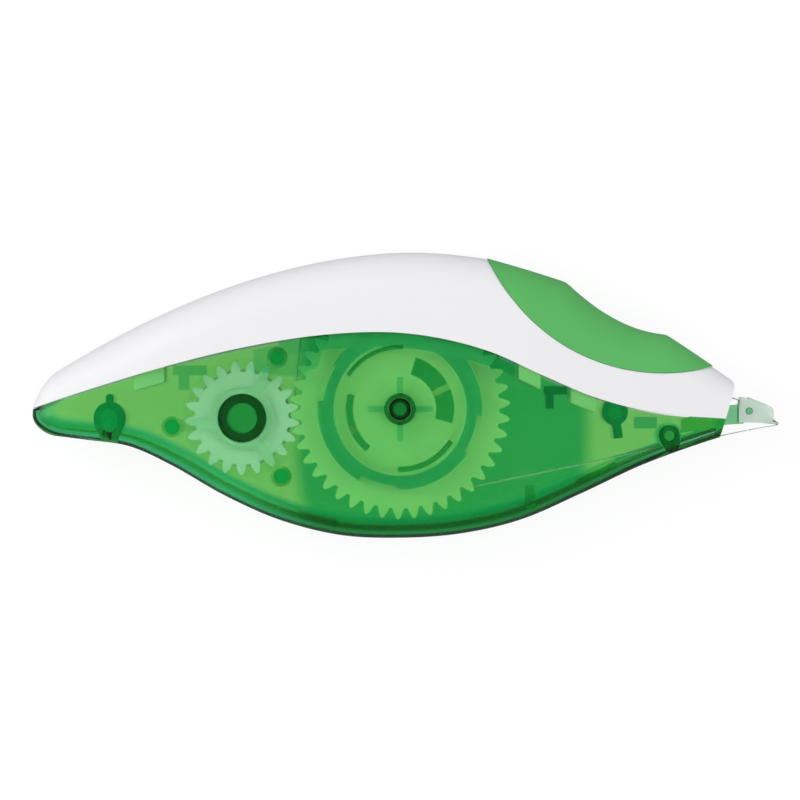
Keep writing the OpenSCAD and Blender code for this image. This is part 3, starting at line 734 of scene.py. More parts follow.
def grip_zone(grow):
    """Round cutter that bounds the grip in the side view."""
    return tall(circle(GRIP_CENTRE, GRIP_R + grow, GRIP_EDGE_STEPS))


def parting_strip(start, end, lo, hi):
    """Corners of a strip between two heights over the parting line."""
    a, b = parting_y(start), parting_y(end)
    return [(start, a + lo), (end, b + lo), (end, b + hi), (start, a + hi)]


def tab_strips(foot, thickness, shift):
    """Strips of the cover tabs on both sides, shifted outwards from the inner face of the wall."""
    strips = []
    for start, end in COVER_TABS:
        inside = min(side_z(start), side_z(end)) - WALL - FIT_GAP
        for side in (-1, 1):
            lo = MID + side * (inside + shift) - thickness / 2
            strips.append(prism(parting_strip(start, end, foot, TAB_RISE), lo, lo + thickness))
    return strips


def cover_shell():
    """White cover above the parting line, set back under the grip, with the roots of its tabs."""
    outside = joined(cut(body(0, OUTSIDE_STEPS), grip_zone(0)), body(GRIP_T))
    shell = kept(outside, above_parting(SEAM / 2))
    shell = cut(shell, cut(body(WALL), grip_zone(WALL)), body(GRIP_T + WALL), nose_slot())
    return joined(shell, *tab_strips(2 * SEAM, TAB_ROOT_T, LIFT + TAB_ROOT_T / 2))


def cover_tabs():
    """Tabs of the cover that reach down inside the case."""
    return joined(*tab_strips(-TAB_DROP, TAB_T, -TAB_T / 2))


def grip_skin():
    """Soft grip that wraps the body inside the round zone."""
    skin = kept(body(-GRIP_PROUD, OUTSIDE_STEPS), grip_zone(-SEAM / 2), layer(SEAM, BODY_T - SEAM))
    return cut(skin, body(GRIP_T - SEAM / 2))


# Node trees

def plug(tree, socket, value):
    """Set a socket to a value, or link it to the socket given."""
    if isinstance(value, bpy.types.NodeSocket):
        tree.links.new(value, socket)
    else:
        socket.default_value = value


def added(tree, kind, settings=None, **inputs):
    """New node with its settings made and its named inputs set or linked."""
    node = tree.nodes.new(kind)
    for name, value in (settings or {}).items():
        setattr(node, name, value)
    for name, value in inputs.items():
        plug(tree, node.inputs[name.replace("_", " ")], value)
    return node


def maths(tree, operation, a, b=0.0):
    node = added(tree, "ShaderNodeMath", {"operation": operation})
    plug(tree, node.inputs[0], a)
    plug(tree, node.inputs[1], b)
    return node.outputs[0]


def add_socket(tree, name, kind, default, output=False):
    socket = tree.interface.new_socket(name, in_out="OUTPUT" if output else "INPUT", socket_type=kind)
    if default is not None:
        socket.default_value = default


# Toothed wheels

FLANK_POINTS = 7
WELD = 1e-4
HUB_LAP = 0.5
HUB_BLANK_R = 1.0  # before its bore is cut
TUBE_HUB_BLANK_R = 3.0  # before its bore is cut
DISH = (3.6, 9.35)
DISH_DEPTH = 0.22
GEAR_WINDOWS = ((-15, 88, 6, 9), (163, 68, 7.8, 9), (87, 60, 9.9, 10.6), (268, 60, 9.5, 10.4))
WINDOW_LO = 10.0


def wheel_tree():
    """Geometry Nodes tree of a toothed wheel with involute flanks and rounded tips."""
    tree = bpy.data.node_groups.new("toothed_wheel", "GeometryNodeTree")
    add_socket(tree, "Wheel", "NodeSocketGeometry", None, output=True)
    for name, kind, default in (
        ("Teeth", "NodeSocketInt", SUPPLY_TEETH), ("Tooth Module", "NodeSocketFloat", GEAR_MODULE),
        ("Tip Rounding", "NodeSocketFloat", TIP_ROUNDING), ("Level", "NodeSocketFloat", GEAR_LO),
        ("Thickness", "NodeSocketFloat", GEAR_HI - GEAR_LO), ("Turn", "NodeSocketFloat", 0.0),
        ("Finish", "NodeSocketMaterial", None),
    ):
        add_socket(tree, name, kind, default)
    given = tree.nodes.new("NodeGroupInput").outputs
    tooth_points = 2 * FLANK_POINTS + 1

    def calc(operation, a, b=0.0):
        return maths(tree, operation, a, b)

    def involute(angle):
        return calc("SUBTRACT", calc("TANGENT", angle), angle)

    index = tree.nodes.new("GeometryNodeInputIndex").outputs[0]
    tooth = calc("FLOOR", calc("DIVIDE", calc("ADD", index, 0.5), tooth_points))
    place = calc("SUBTRACT", index, calc("MULTIPLY", tooth, tooth_points))
    from_middle = calc("SUBTRACT", place, FLANK_POINTS)
    side = calc("SIGN", from_middle)
    climb = calc("SUBTRACT", FLANK_POINTS, calc("ABSOLUTE", from_middle))
    on_tip = calc("GREATER_THAN", climb, FLANK_POINTS - 0.5)

    # Radius of each point, from the root up the flank to the tip
    tooth_module = given["Tooth Module"]
    pitch_r = calc("MULTIPLY", calc("MULTIPLY", given["Teeth"], tooth_module), 0.5)
    root_r = calc("SUBTRACT", pitch_r, calc("MULTIPLY", tooth_module, ROOT_DEPTH))
    tip_r = calc("ADD", pitch_r, calc("MULTIPLY", tooth_module, TIP_HEIGHT))
    shoulder_r = calc("SUBTRACT", tip_r, given["Tip Rounding"])
    rise = calc("DIVIDE", climb, FLANK_POINTS - 1)
    flank_r = calc("ADD", root_r, calc("MULTIPLY", calc("SUBTRACT", shoulder_r, root_r), rise))
    radius = calc("MINIMUM", calc("ADD", flank_r, calc("MULTIPLY", on_tip, FAR)), tip_r)

    # Direction of each point, swung out from the middle of its tooth
    base_r = calc("MULTIPLY", pitch_r, math.cos(PRESSURE_ANGLE))
    lean = involute(calc("ARCCOSINE", calc("DIVIDE", base_r, calc("MAXIMUM", flank_r, base_r))))
    slack = calc("DIVIDE", BACKLASH / 4, pitch_r)
    full = calc("SUBTRACT", calc("DIVIDE", math.pi / 2, given["Teeth"]), slack)
    half = calc("SUBTRACT", calc("ADD", full, math.tan(PRESSURE_ANGLE) - PRESSURE_ANGLE), lean)
    swing = calc("MULTIPLY", calc("MULTIPLY", side, half), calc("SUBTRACT", 1.0, on_tip))
    step = calc("DIVIDE", 2 * math.pi, given["Teeth"])
    angle = calc("ADD", calc("ADD", given["Turn"], calc("MULTIPLY", tooth, step)), swing)

    # Outline filled, drawn out and closed
    blank = added(
        tree, "GeometryNodeMeshCircle", {"fill_type": "NGON"},
        Vertices=calc("MULTIPLY", given["Teeth"], tooth_points),
    )
    position = added(
        tree, "ShaderNodeCombineXYZ", X=calc("MULTIPLY", radius, calc("COSINE", angle)),
        Y=calc("MULTIPLY", radius, calc("SINE", angle)), Z=given["Level"],
    )
    shaped = added(
        tree, "GeometryNodeSetPosition", Geometry=blank.outputs["Mesh"], Position=position.outputs[0],
    ).outputs[0]
    lift = added(tree, "ShaderNodeCombineXYZ", Z=given["Thickness"])
    drawn = added(tree, "GeometryNodeExtrudeMesh", Mesh=shaped, Offset=lift.outputs[0], Individual=False)
    underside = added(tree, "GeometryNodeFlipFaces", Mesh=shaped)
    whole = tree.nodes.new("GeometryNodeJoinGeometry")
    for surface in (underside.outputs[0], drawn.outputs["Mesh"]):
        tree.links.new(surface, whole.inputs[0])
    welded = added(tree, "GeometryNodeMergeByDistance", Geometry=whole.outputs[0], Distance=WELD)
    real = added(tree, "GeometryNodeRealizeInstances", Geometry=welded.outputs[0])
    painted = added(tree, "GeometryNodeSetMaterial", Geometry=real.outputs[0], Material=given["Finish"])
    tree.links.new(painted.outputs[0], tree.nodes.new("NodeGroupOutput").inputs[0])
    return tree


def toothed_blank(tree, teeth, turn, material):
    """Plain mesh of one wheel blank made by the tree."""
    carrier = shown("wheel_blank", bpy.data.meshes.new("wheel_blank"))
    maker = carrier.modifiers.new("wheel", "NODES")
    maker.node_group = tree
    values = {
        "Teeth": teeth, "Turn": turn, "Thickness": GEAR_HI - GEAR_LO, "Level": GEAR_LO, "Finish": material,
    }
    for item in tree.interface.items_tree:
        if item.item_type == "SOCKET" and item.in_out == "INPUT" and item.name in values:
            maker[item.identifier] = values[item.name]
    mesh = evaluated_mesh(carrier)
    bpy.data.objects.remove(carrier)
    return mesh


def supply_wheel(tree, material):
    """Large gear with its hub, its shallow dish and its windows."""
    wheel = toothed_blank(tree, SUPPLY_TEETH, MESH_ANGLE, material)
    wheel = joined(wheel, eased_ring(ORIGIN, HUB_BLANK_R, HUB_R, HUB_LO, GEAR_LO + HUB_LAP))
    dish = tube(ORIGIN, *DISH, GEAR_HI - DISH_DEPTH, BODY_T)
    wheel = cut(wheel, disc(ORIGIN, AXLE_R + RUN_GAP, 0, BODY_T), dish)
    for window in GEAR_WINDOWS:
        wheel = cut(wheel, arc_wall(*window, WINDOW_LO, BODY_T))
    return wheel


def take_up_wheel(tree, material):
    """Small gear with its drum and its hub, turned half a tooth to mesh with the large one."""
    turn = MESH_ANGLE + math.pi + math.pi / TAKE_UP_TEETH
    wheel = toothed_blank(tree, TAKE_UP_TEETH, turn, material)
    wheel.transform(Matrix.Translation((*TAKE_UP_AT, 0)))
    root = GEAR_LO + HUB_LAP
    drum = tube(TAKE_UP_AT, DRUM_R - CORE_WALL, DRUM_R, FLANGE_HI, root)
    hub = eased_ring(TAKE_UP_AT, TUBE_HUB_BLANK_R, TUBE_R + HUB_WALL, FLANGE_LO, root)
    return cut(joined(wheel, drum, hub), disc(TAKE_UP_AT, TUBE_R + RUN_GAP, 0, BODY_T))


# Reels, axles and guides

AXLE_FOOT_GAP = 0.2
AXLE_FOOT_EASE = 0.2
AXLE_TIP_EASE = 0.3
RIM_EASE = 0.12
SPOOL_HUB_RISE = 1.6
CLUTCH_LO = TAPE_HI - 2.4
CLUTCH_HI = TAPE_HI - 0.6
CLUTCH_RING_T = 1.2
ARM_REACH = CORE_R - CORE_WALL - 0.2
ARM_IN = ARM_REACH - 1.3
ARM_OUT = ARM_REACH - 0.5
ARM_STARTS = (25, 115, 205, 295)
ARM_SWEEP = 58
ARM_ROOT_W = 1.0
ARM_PAD_TURN = 50
ARM_PAD_SWEEP = 8
ARM_PAD_LAP = 0.3
LEG_W = 2.0
LEG_END = (0.5, 1.7)
PLATE_BLANK_LAP = 0.5
PLATE_EASE = 0.1


def supply_axle():
    """Hollow axle of the supply gear on a wide foot, with a floor in its bore."""
    lo = WALL + LIFT
    foot_r, foot_top = HUB_R - AXLE_FOOT_GAP, HUB_LO - AXLE_FOOT_GAP
    return turned([
        (0, lo), (foot_r, lo), (foot_r, foot_top - AXLE_FOOT_EASE), (foot_r - AXLE_FOOT_EASE, foot_top),
        (AXLE_R, foot_top), (AXLE_R, AXLE_TOP - AXLE_TIP_EASE), (AXLE_R - AXLE_TIP_EASE, AXLE_TOP),
        (AXLE_BORE_R, AXLE_TOP), (AXLE_BORE_R, lo + BORE_FLOOR), (0, lo + BORE_FLOOR),
    ], ORIGIN)


def blind_tube(at, inner, outer, lo, hi):
    """Hollow post with a floor in its bore and an eased rim."""
    ease = RIM_EASE
    return turned([
        (0, lo), (outer - ease, lo), (outer, lo + ease), (outer, hi - ease), (outer - ease, hi),
        (inner + ease, hi), (inner, hi - ease), (inner, lo + BORE_FLOOR), (0, lo + BORE_FLOOR),
    ], at)


def take_up_axle():
    return blind_tube(TAKE_UP_AT, TUBE_BORE_R, TUBE_R, PAD_FLOOR + LIFT, TUBE_TOP)


def feed_guide():
    lo, hi = TAPE_LO - FEED_POST_PAST, TAPE_HI + FEED_POST_PAST
    return blind_tube(FEED_POST_AT, FEED_CUP_R, FEED_POST_R, lo, hi)


def crown_guide(side):
    """Guide post under the cover, on the nose side or on the tail side."""
    at = (side * GUIDE_AT[0], GUIDE_AT[1])
    return eased_ring(at, 0, GUIDE_R, GUIDE_LO + LIFT, TAPE_HI + GUIDE_PAST)


def supply_spool():
    """Core of the new tape with its flange and its short hub."""
    hub_in, hub_out, hub_top = HUB_R + RUN_GAP, HUB_R + HUB_WALL, FLANGE_HI + SPOOL_HUB_RISE
    inner, ease = CORE_R - CORE_WALL, RIM_EASE
    return turned([
        (hub_in, FLANGE_LO), (REEL_FLANGE_R - ease, FLANGE_LO), (REEL_FLANGE_R, FLANGE_LO + ease),
        (REEL_FLANGE_R, FLANGE_HI - ease), (REEL_FLANGE_R - ease, FLANGE_HI), (CORE_R, FLANGE_HI),
        (CORE_R, TAPE_HI - ease), (CORE_R - ease, TAPE_HI), (inner, TAPE_HI), (inner, FLANGE_HI),
        (hub_out, FLANGE_HI), (hub_out, hub_top - ease), (hub_out - ease, hub_top), (hub_in, hub_top),
    ], ORIGIN)


def clutch_arms():
    """Friction spring with four curved arms that press outwards on the core."""
    levels = (CLUTCH_LO, CLUTCH_HI)
    spring = tube(ORIGIN, HUB_R + LIFT, HUB_R + CLUTCH_RING_T, *levels)
    for start in ARM_STARTS:
        foot = around(ORIGIN, HUB_R + CLUTCH_RING_T / 2, start)
        root = bar(foot, around(ORIGIN, ARM_OUT, start), ARM_ROOT_W, *levels)
        arm = arc_wall(start, ARM_SWEEP, ARM_IN, ARM_OUT, *levels)
        pad = arc_wall(start + ARM_PAD_TURN, ARM_PAD_SWEEP, ARM_OUT - ARM_PAD_LAP, ARM_REACH, *levels)
        spring = joined(spring, root, arm, pad)
    return spring


def tape_roll():
    return eased_ring(ORIGIN, CORE_R + LIFT, ROLL_R, TAPE_LO, TAPE_HI)


def take_up_rim():
    return eased_ring(TAKE_UP_AT, TUBE_R + HUB_WALL + LIFT, TAKE_UP_FLANGE_R, FLANGE_LO, FLANGE_HI)


def film_winding():
    return eased_ring(TAKE_UP_AT, DRUM_R + LIFT, DRUM_R + WOUND_T, TAPE_LO, TAPE_HI)


def retainer_plate():
    """Three-legged plate that keeps the take-up gear on its axle."""
    top = RIB_LO + RETAINER_T
    middle = eased(TUBE_R - PLATE_BLANK_LAP, TUBE_R + HUB_WALL, RIB_LO, top, PLATE_EASE)
    plate = turned(middle, TAKE_UP_AT)
    for angle in RETAINER_ANGLES:
        at = around(TAKE_UP_AT, RETAINER_REACH, angle)
        leg = bar(around(TAKE_UP_AT, TUBE_R, angle), at, LEG_W, RIB_LO, top)
        plate = joined(plate, leg, turned(eased(*LEG_END, RIB_LO, top, PLATE_EASE), at))
        plate = cut(plate, disc(at, RETAINER_PIN_R + RUN_GAP, 0, BODY_T))
    return cut(plate, disc(TAKE_UP_AT, TUBE_R + RUN_GAP, 0, BODY_T))


# Tape runs

def run_angle(a, b):
    """Direction of the straight run between two round guides, each a centre and a signed radius."""
    dx, dy = b[0][0] - a[0][0], b[0][1] - a[0][1]
    return math.atan2(dy, dx) - math.asin((b[1] - a[1]) / math.hypot(dx, dy))


def touch(guide, angle):
    """Point where a run with the given direction touches a guide, with that direction."""
    (x, y), radius = guide
    return x + radius * math.sin(angle), y - radius * math.cos(angle), angle


def wrap(guide, start, end):
    """Touch points round one guide from one direction to the next."""
    step = math.radians(4)
    sweep = math.remainder(end - start, 2 * math.pi)
    count = math.ceil(abs(sweep) / step) if guide[1] else 0
    if not count:
        return [touch(guide, start + sweep / 2)]
    return [touch(guide, start + sweep * i / count) for i in range(count + 1)]


def band(guides):
    """Band of tape that runs past a list of guides."""
    runs = [run_angle(a, b) for a, b in zip(guides, guides[1:])]
    path = [touch(guides[0], runs[0])]
    for guide, start, end in zip(guides[1:], runs, runs[1:]):
        path += wrap(guide, start, end)
    path.append(touch(guides[-1], runs[-1]))
    half = TAPE_T / 2
    left = [(x - half * math.sin(a), y + half * math.cos(a)) for x, y, a in path]
    right = [(x + half * math.sin(a), y - half * math.cos(a)) for x, y, a in path]
    return prism(left + right[::-1], TAPE_LO, TAPE_HI)


# Tip and the tape round it

PIVOT = (NOSE_REACH + 2.4, -0.33)
TIP_HALF = 2.7
PLATE_T = 0.7
PLATE_LAP = 0.1
NECK_GAP = 0.1
PIN_R = 0.55
PIN_EASE = 0.1
KNUCKLE_R = 1.2
EDGE_R = 0.12
BLADE_REACH = 4.75
BLADE_LOW = -2.2
BLADE_EDGE = (PIVOT[0] + BLADE_REACH - EDGE_R, BLADE_LOW - 2 * EDGE_R)
SPLIT_AT = (PIVOT[0], EXIT_AT[1] + (PIVOT[0] - EXIT_AT[0]) * EXIT_SLOPE)
SPLIT_GAP = (0.2, 0.04)
LOOP_END_GAP = 0.1
FILM_START_GAP = 0.25


def from_pivot(points):
    return [(PIVOT[0] + x, PIVOT[1] + y) for x, y in points]


def over_knuckle(back):
    """Place of the tape over the knuckle, a little behind the pivot."""
    return PIVOT[0] - back, PIVOT[1] + KNUCKLE_R + TAPE_LAY


def feed_tape():
    """New tape from the roll to just under the tip."""
    end = (SPLIT_AT[0] - SPLIT_GAP[0], SPLIT_AT[1] - SPLIT_GAP[1])
    return band([(ORIGIN, ROLL_R + TAPE_LAY), (EXIT_AT, 0), (end, 0)])


def tip_tape():
    """Tape round the edge of the blade and back over the knuckle."""
    start = (SPLIT_AT[0] + SPLIT_GAP[0], SPLIT_AT[1] + SPLIT_GAP[1])
    return band([
        (start, 0), (BLADE_EDGE, EDGE_R + TAPE_LAY), (PIVOT, KNUCKLE_R + TAPE_LAY),
        (over_knuckle(LOOP_END_GAP), 0),
    ])


def used_film():
    """Backing film from the tip over the crown guides to the take-up drum."""
    return band([
        (over_knuckle(FILM_START_GAP), 0), (GUIDE_AT, GUIDE_R + TAPE_LAY),
        ((-GUIDE_AT[0], GUIDE_AT[1]), GUIDE_R + TAPE_LAY), (TAKE_UP_AT, -(DRUM_R + WOUND_T + TAPE_LAY)),
    ])


def tip_plates():
    """Two side plates with the blade and the bridge between them."""
    outline = from_pivot(
        [(-1.7, -1.9), (3.6, -1.97), (4.1, -1.3)] + arc((3.1, -0.1), 1, 0, 70, 10)
        + arc((-1.1, 2), 0.35, 70, 190, 8) + [(-1.7, 0.6)]
    )
    x, y = BLADE_EDGE
    edge = [(x, y - EDGE_R), (x + EDGE_R, y), (x + EDGE_R / 2, y + EDGE_R)]
    blade = from_pivot([(2.2, -1.97)]) + edge + from_pivot([(2.5, -0.9)])
    bridge = from_pivot([(-0.2, 1.9), (0, 2.25), (3.1, 1), (2.9, 0.65)])
    lo, hi = MID - TIP_HALF - PLATE_LAP, MID + TIP_HALF + PLATE_LAP
    tip = joined(prism(blade, lo, hi), prism(bridge, lo, hi))
    for plate_lo in (MID - TIP_HALF - PLATE_T, MID + TIP_HALF):
        tip = joined(tip, prism(outline, plate_lo, plate_lo + PLATE_T))
    return cut(tip, disc(PIVOT, PIN_R + RUN_GAP, 0, BODY_T))


def tip_neck():
    """Neck held in the nose, ending in a round knuckle."""
    outline = from_pivot([
        (-11.2, -3.6), (-6.4, -3.1), (-4, -2.3), (-1, -2.1), (0, -KNUCKLE_R), (0, KNUCKLE_R), (-3, 0.95),
        (-11.2, -1.4),
    ])
    half = TIP_HALF - NECK_GAP
    neck = joined(prism(outline, MID - half, MID + half), disc(PIVOT, KNUCKLE_R, MID - half, MID + half))
    return cut(neck, disc(PIVOT, PIN_R + LIFT, 0, BODY_T))


def tilt_pin():
    reach = TIP_HALF + PLATE_T
    return turned(eased(0, PIN_R, MID - reach, MID + reach, PIN_EASE), PIVOT)


# Surface effects shared by the materials

SMUDGE_SCALE = 90.0
DRIFT_SCALE = 60.0
NOISE_SPAN = (0.2, 0.8)


def object_coords(tree):
    return tree.nodes.new("ShaderNodeTexCoord").outputs["Object"]


def noise(tree, coords, scale, detail):
    return added(tree, "ShaderNodeTexNoise", Vector=coords, Scale=scale, Detail=detail).outputs["Fac"]


def faded(tree, value, span, levels, course="SMOOTHSTEP"):
    """Value carried from a span to two levels and held at both ends, softly unless told otherwise."""
    node = added(
        tree, "ShaderNodeMapRange", {"interpolation_type": course}, Value=value,
        From_Min=span[0], From_Max=span[1], To_Min=levels[0], To_Max=levels[1],
    )
    return node.outputs["Result"]


def mixed(tree, share, a, b, blend="MIX"):
    """Colour made from two others by a share."""
    settings = {"data_type": "RGBA", "blend_type": blend}
    return added(tree, "ShaderNodeMix", settings, Factor=share, A=a, B=b).outputs["Result"]


def opaque(colour):
    return (*colour, 1)


def effect_group(name, inputs, outputs):
    """Empty shader group with named inputs and outputs."""
    group = bpy.data.node_groups.new(name, "ShaderNodeTree")
    for socket_name, default in inputs:
        add_socket(group, socket_name, "NodeSocketFloat", default)
    for socket_name in outputs:
        add_socket(group, socket_name, "NodeSocketFloat", None, output=True)
    return group, group.nodes.new("NodeGroupInput").outputs, group.nodes.new("NodeGroupOutput").inputs


def moulded_skin():
    """Handled plastic: cloudy roughness from fingers and a fine moulded grain."""
    inputs = (
        ("Smudge Scale", SMUDGE_SCALE), ("Grain Scale", 2500.0),
        ("Roughness Low", 0.2), ("Roughness High", 0.35),
    )
    group, given, result = effect_group("moulded_skin", inputs, ("Roughness", "Grain"))
    coords = object_coords(group)
    smudge = noise(group, coords, given["Smudge Scale"], detail=3)
    levels = (given["Roughness Low"], given["Roughness High"])
    group.links.new(faded(group, smudge, NOISE_SPAN, levels, "LINEAR"), result["Roughness"])
    group.links.new(noise(group, coords, given["Grain Scale"], detail=2), result["Grain"])
    return group


def colour_drift():
    """Slow drift of a colour over the surface, as a share to mix by."""
    group, given, result = effect_group("colour_drift", (("Scale", DRIFT_SCALE), ("Share", 1.0)), ("Share",))
    clouds = noise(group, object_coords(group), given["Scale"], detail=4)
    group.links.new(faded(group, clouds, NOISE_SPAN, (0.0, given["Share"]), "LINEAR"), result["Share"])
    return group


SKIN = moulded_skin()
DRIFT = colour_drift()


# Finishes

def finish(name, colours, roughness, grain, **shader):
    """Plastic material: two colours that drift, smudged roughness and a grain of given scale and height."""
    material = bpy.data.materials.new(name)
    material.use_nodes = True
    tree = material.node_tree
    plastic = tree.nodes["Principled BSDF"].inputs
    for socket, value in shader.items():
        plastic[socket.replace("_", " ")].default_value = value
    drift = added(tree, "ShaderNodeGroup", {"node_tree": DRIFT}, Scale=DRIFT_SCALE)
    skin = added(
        tree, "ShaderNodeGroup", {"node_tree": SKIN}, Smudge_Scale=SMUDGE_SCALE, Grain_Scale=grain[0],
        Roughness_Low=roughness[0], Roughness_High=roughness[1],
    )
    bump = added(tree, "ShaderNodeBump", Distance=grain[1], Height=skin.outputs["Grain"])
    base = mixed(tree, drift.outputs["Share"], opaque(colours[0]), opaque(colours[1]))
    tree.links.new(base, plastic["Base Color"])
    tree.links.new(skin.outputs["Roughness"], plastic["Roughness"])
    tree.links.new(bump.outputs["Normal"], plastic["Normal"])
    return material


def overlaid(material, share, colour, blend="MIX"):
    """Second colour over a finish's own, by a share."""
    tree = material.node_tree
    base = tree.nodes["Principled BSDF"].inputs["Base Color"]
    tree.links.new(mixed(tree, share, base.links[0].from_socket, colour, blend), base)


def clear_finish(name, colours, roughness, density, tint, clearness=1.0, bend=1.5):
    """Clear tinted plastic whose colour deepens with its thickness."""
    grain = (1800.0, 0.000004)
    material = finish(name, colours, roughness, grain, IOR=bend, Transmission_Weight=clearness)
    tree = material.node_tree
    depth = added(tree, "ShaderNodeVolumeAbsorption", Color=opaque(tint), Density=density)
    tree.links.new(depth.outputs["Volume"], tree.nodes["Material Output"].inputs["Volume"])
    return material


# Where the painted edge shade fades, by how far the wall faces up or down, and along X
EDGE_SHADE_FROM_FLAT = (0.64, 0.925)
EDGE_SHADE_FROM_KEEL = (0.15, 0.45)
EDGE_SHADE_AT_KEEL = 0.3
KEEL_SHADE_FROM = (-30 * MM, -10 * MM)


def painted_edge_shade(material, tail_shade_colour, keel_shade_colour):
    """Painted shade: deeper colour along the edge where a clear wall turns from the flat side to the keel,
    deeper still towards the nose.
    """
    tree = material.node_tree
    coords = tree.nodes.new("ShaderNodeTexCoord").outputs
    facing = added(tree, "ShaderNodeSeparateXYZ", Vector=coords["Normal"]).outputs
    place = added(tree, "ShaderNodeSeparateXYZ", Vector=coords["Object"]).outputs
    flatness = maths(tree, "ABSOLUTE", facing["Z"])
    from_flat = faded(tree, flatness, EDGE_SHADE_FROM_FLAT, (1.0, 0.0))
    from_keel = faded(tree, flatness, EDGE_SHADE_FROM_KEEL, (EDGE_SHADE_AT_KEEL, 1.0))
    edge_shade_share = maths(tree, "MINIMUM", from_flat, from_keel)
    overlaid(material, edge_shade_share, opaque(tail_shade_colour))
    from_tail = faded(tree, place["X"], KEEL_SHADE_FROM, (0.0, 1.0))
    overlaid(material, maths(tree, "MULTIPLY", edge_shade_share, from_tail), opaque(keel_shade_colour))


# Oval panel behind the supply gear, outside which the rear wall gets painted light, its edge as shares of its
# reach
PANEL_AT = (7 * MM, -4 * MM, 0)
PANEL_REACH = (24 * MM, 40 * MM, 1)
PANEL_EDGE = (0.95, 1.1)


def painted_light_surround(material, colour):
    """Painted light: paler wall towards the tail and the nose, outside the oval panel behind the supply gear.
    """
    tree = material.node_tree
    place = added(
        tree, "ShaderNodeMapping", {"vector_type": "TEXTURE"}, Vector=object_coords(tree), Location=PANEL_AT,
        Scale=PANEL_REACH,
    )
    reach = added(tree, "ShaderNodeVectorMath", {"operation": "LENGTH"}, Vector=place.outputs["Vector"])
    overlaid(material, faded(tree, reach.outputs["Value"], PANEL_EDGE, (0.0, 1.0)), opaque(colour))


WINDING_SCALE = 900.0
WINDING_WANDER = 1.5
WINDING_SHADE = 0.12


def wound_finish(name, colours, axis):
    """Film wound round an axis, with faint rings where its turns are uneven."""
    material = finish(name, colours, (0.5, 0.7), (4000.0, 0.000006))
    tree = material.node_tree
    from_axis = added(tree, "ShaderNodeVectorMath", {"operation": "SUBTRACT"})
    plug(tree, from_axis.inputs[0], object_coords(tree))
    plug(tree, from_axis.inputs[1], (axis[0] * MM, axis[1] * MM, 0))
    turns = added(
        tree, "ShaderNodeTexWave", {"wave_type": "RINGS", "rings_direction": "Z"},
        Vector=from_axis.outputs[0], Scale=WINDING_SCALE, Distortion=WINDING_WANDER,
    )
    overlaid(material, WINDING_SHADE, turns.outputs["Color"], "MULTIPLY")
    return material


# Roughness of the plastics as low and high, grain as its scale and its height in metres
POLISHED = (0.08, 0.16)
CLEAR_MOULDED = (0.1, 0.2)
MOULDED = (0.42, 0.55)
MOULDED_GRAIN = (2600.0, 0.00001)
FILM_COLOURS = ((0.84, 0.83, 0.8), (0.88, 0.87, 0.85))

CASE_GREEN = clear_finish(
    "case_clear_green", ((0.91, 0.985, 0.68), (0.94, 0.99, 0.71)), POLISHED, 420, (0.0, 0.72, 0.7),
)
# Painted shade on the front half where its walls turn towards the keel
painted_edge_shade(CASE_GREEN, (0.06, 0.68, 0.16), (0.01, 0.25, 0.025))
# Rear half: the same clear green plastic, tinted far deeper than the front half as painted shade for the
# shadowed floor seen through both halves
REAR_SHADED_GREEN = clear_finish(
    "rear_clear_green", ((0.09, 0.67, 0.18), (0.11, 0.69, 0.2)), POLISHED, 500, (0.0, 0.94, 0.87),
)
# Painted light: paler rear wall towards the tail and the nose
painted_light_surround(REAR_SHADED_GREEN, (0.8, 0.99, 0.33))
# Painted shade on the rear half where its walls turn towards the keel
painted_edge_shade(REAR_SHADED_GREEN, (0.1, 0.75, 0.35), (0.03, 0.52, 0.16))
AXLE_GREEN = clear_finish(
    "axle_deep_green", ((0.16, 0.69, 0.48), (0.2, 0.73, 0.52)), (0.12, 0.2), 250, (0.0, 0.55, 0.4),
)
TIP_GREEN = clear_finish(
    "tip_clear_green", ((0.7, 0.94, 0.74), (0.75, 0.96, 0.78)), CLEAR_MOULDED, 200, (0.0, 0.75, 0.3),
)
PLATE_CLEAR = clear_finish(
    "plate_clear_green", ((0.9, 0.97, 0.9), (0.93, 0.98, 0.93)), CLEAR_MOULDED, 220, (0.0, 0.8, 0.45), 0.5,
)
RETAINER_CLEAR = clear_finish(
    "retainer_clear", ((0.93, 0.98, 0.93), (0.95, 0.99, 0.95)), CLEAR_MOULDED, 80, (0.0, 0.7, 0.3), bend=1.3,
)
COVER_WHITE = finish(
    "cover_gloss_white", ((0.826, 0.826, 0.85), (0.838, 0.838, 0.86)), (0.38, 0.5), (1500.0, 0.000004),
    Specular_IOR_Level=0.4,
)
GRIP_GREEN = finish(
    "grip_soft_green", ((0.098, 0.455, 0.115), (0.108, 0.475, 0.128)), (0.6, 0.75), (5200.0, 0.00002),
    Specular_IOR_Level=0.25,
)
GEAR_NATURAL = finish("gear_natural", ((0.48, 0.88, 0.38), (0.66, 0.95, 0.43)), MOULDED, MOULDED_GRAIN)
GEAR_WHITE = finish("gear_white", ((0.91, 0.94, 0.91), (0.94, 0.96, 0.94)), MOULDED, MOULDED_GRAIN)
TAB_PALE = finish("tab_pale", ((0.58, 0.86, 0.46), (0.66, 0.89, 0.52)), MOULDED, MOULDED_GRAIN)
TAPE_WHITE = finish("tape_white", ((0.86, 0.86, 0.84), (0.92, 0.92, 0.9)), (0.55, 0.7), (4000.0, 0.000008))
BACKING_FILM = finish("backing_film", FILM_COLOURS, (0.3, 0.45), (3000.0, 0.000004))
WOUND_TAPE = wound_finish("wound_tape", ((0.87, 0.87, 0.85), (0.92, 0.92, 0.9)), ORIGIN)
WOUND_FILM = wound_finish("wound_film", FILM_COLOURS, TAKE_UP_AT)


# Finished pieces

SHARP_ANGLE = math.radians(32)


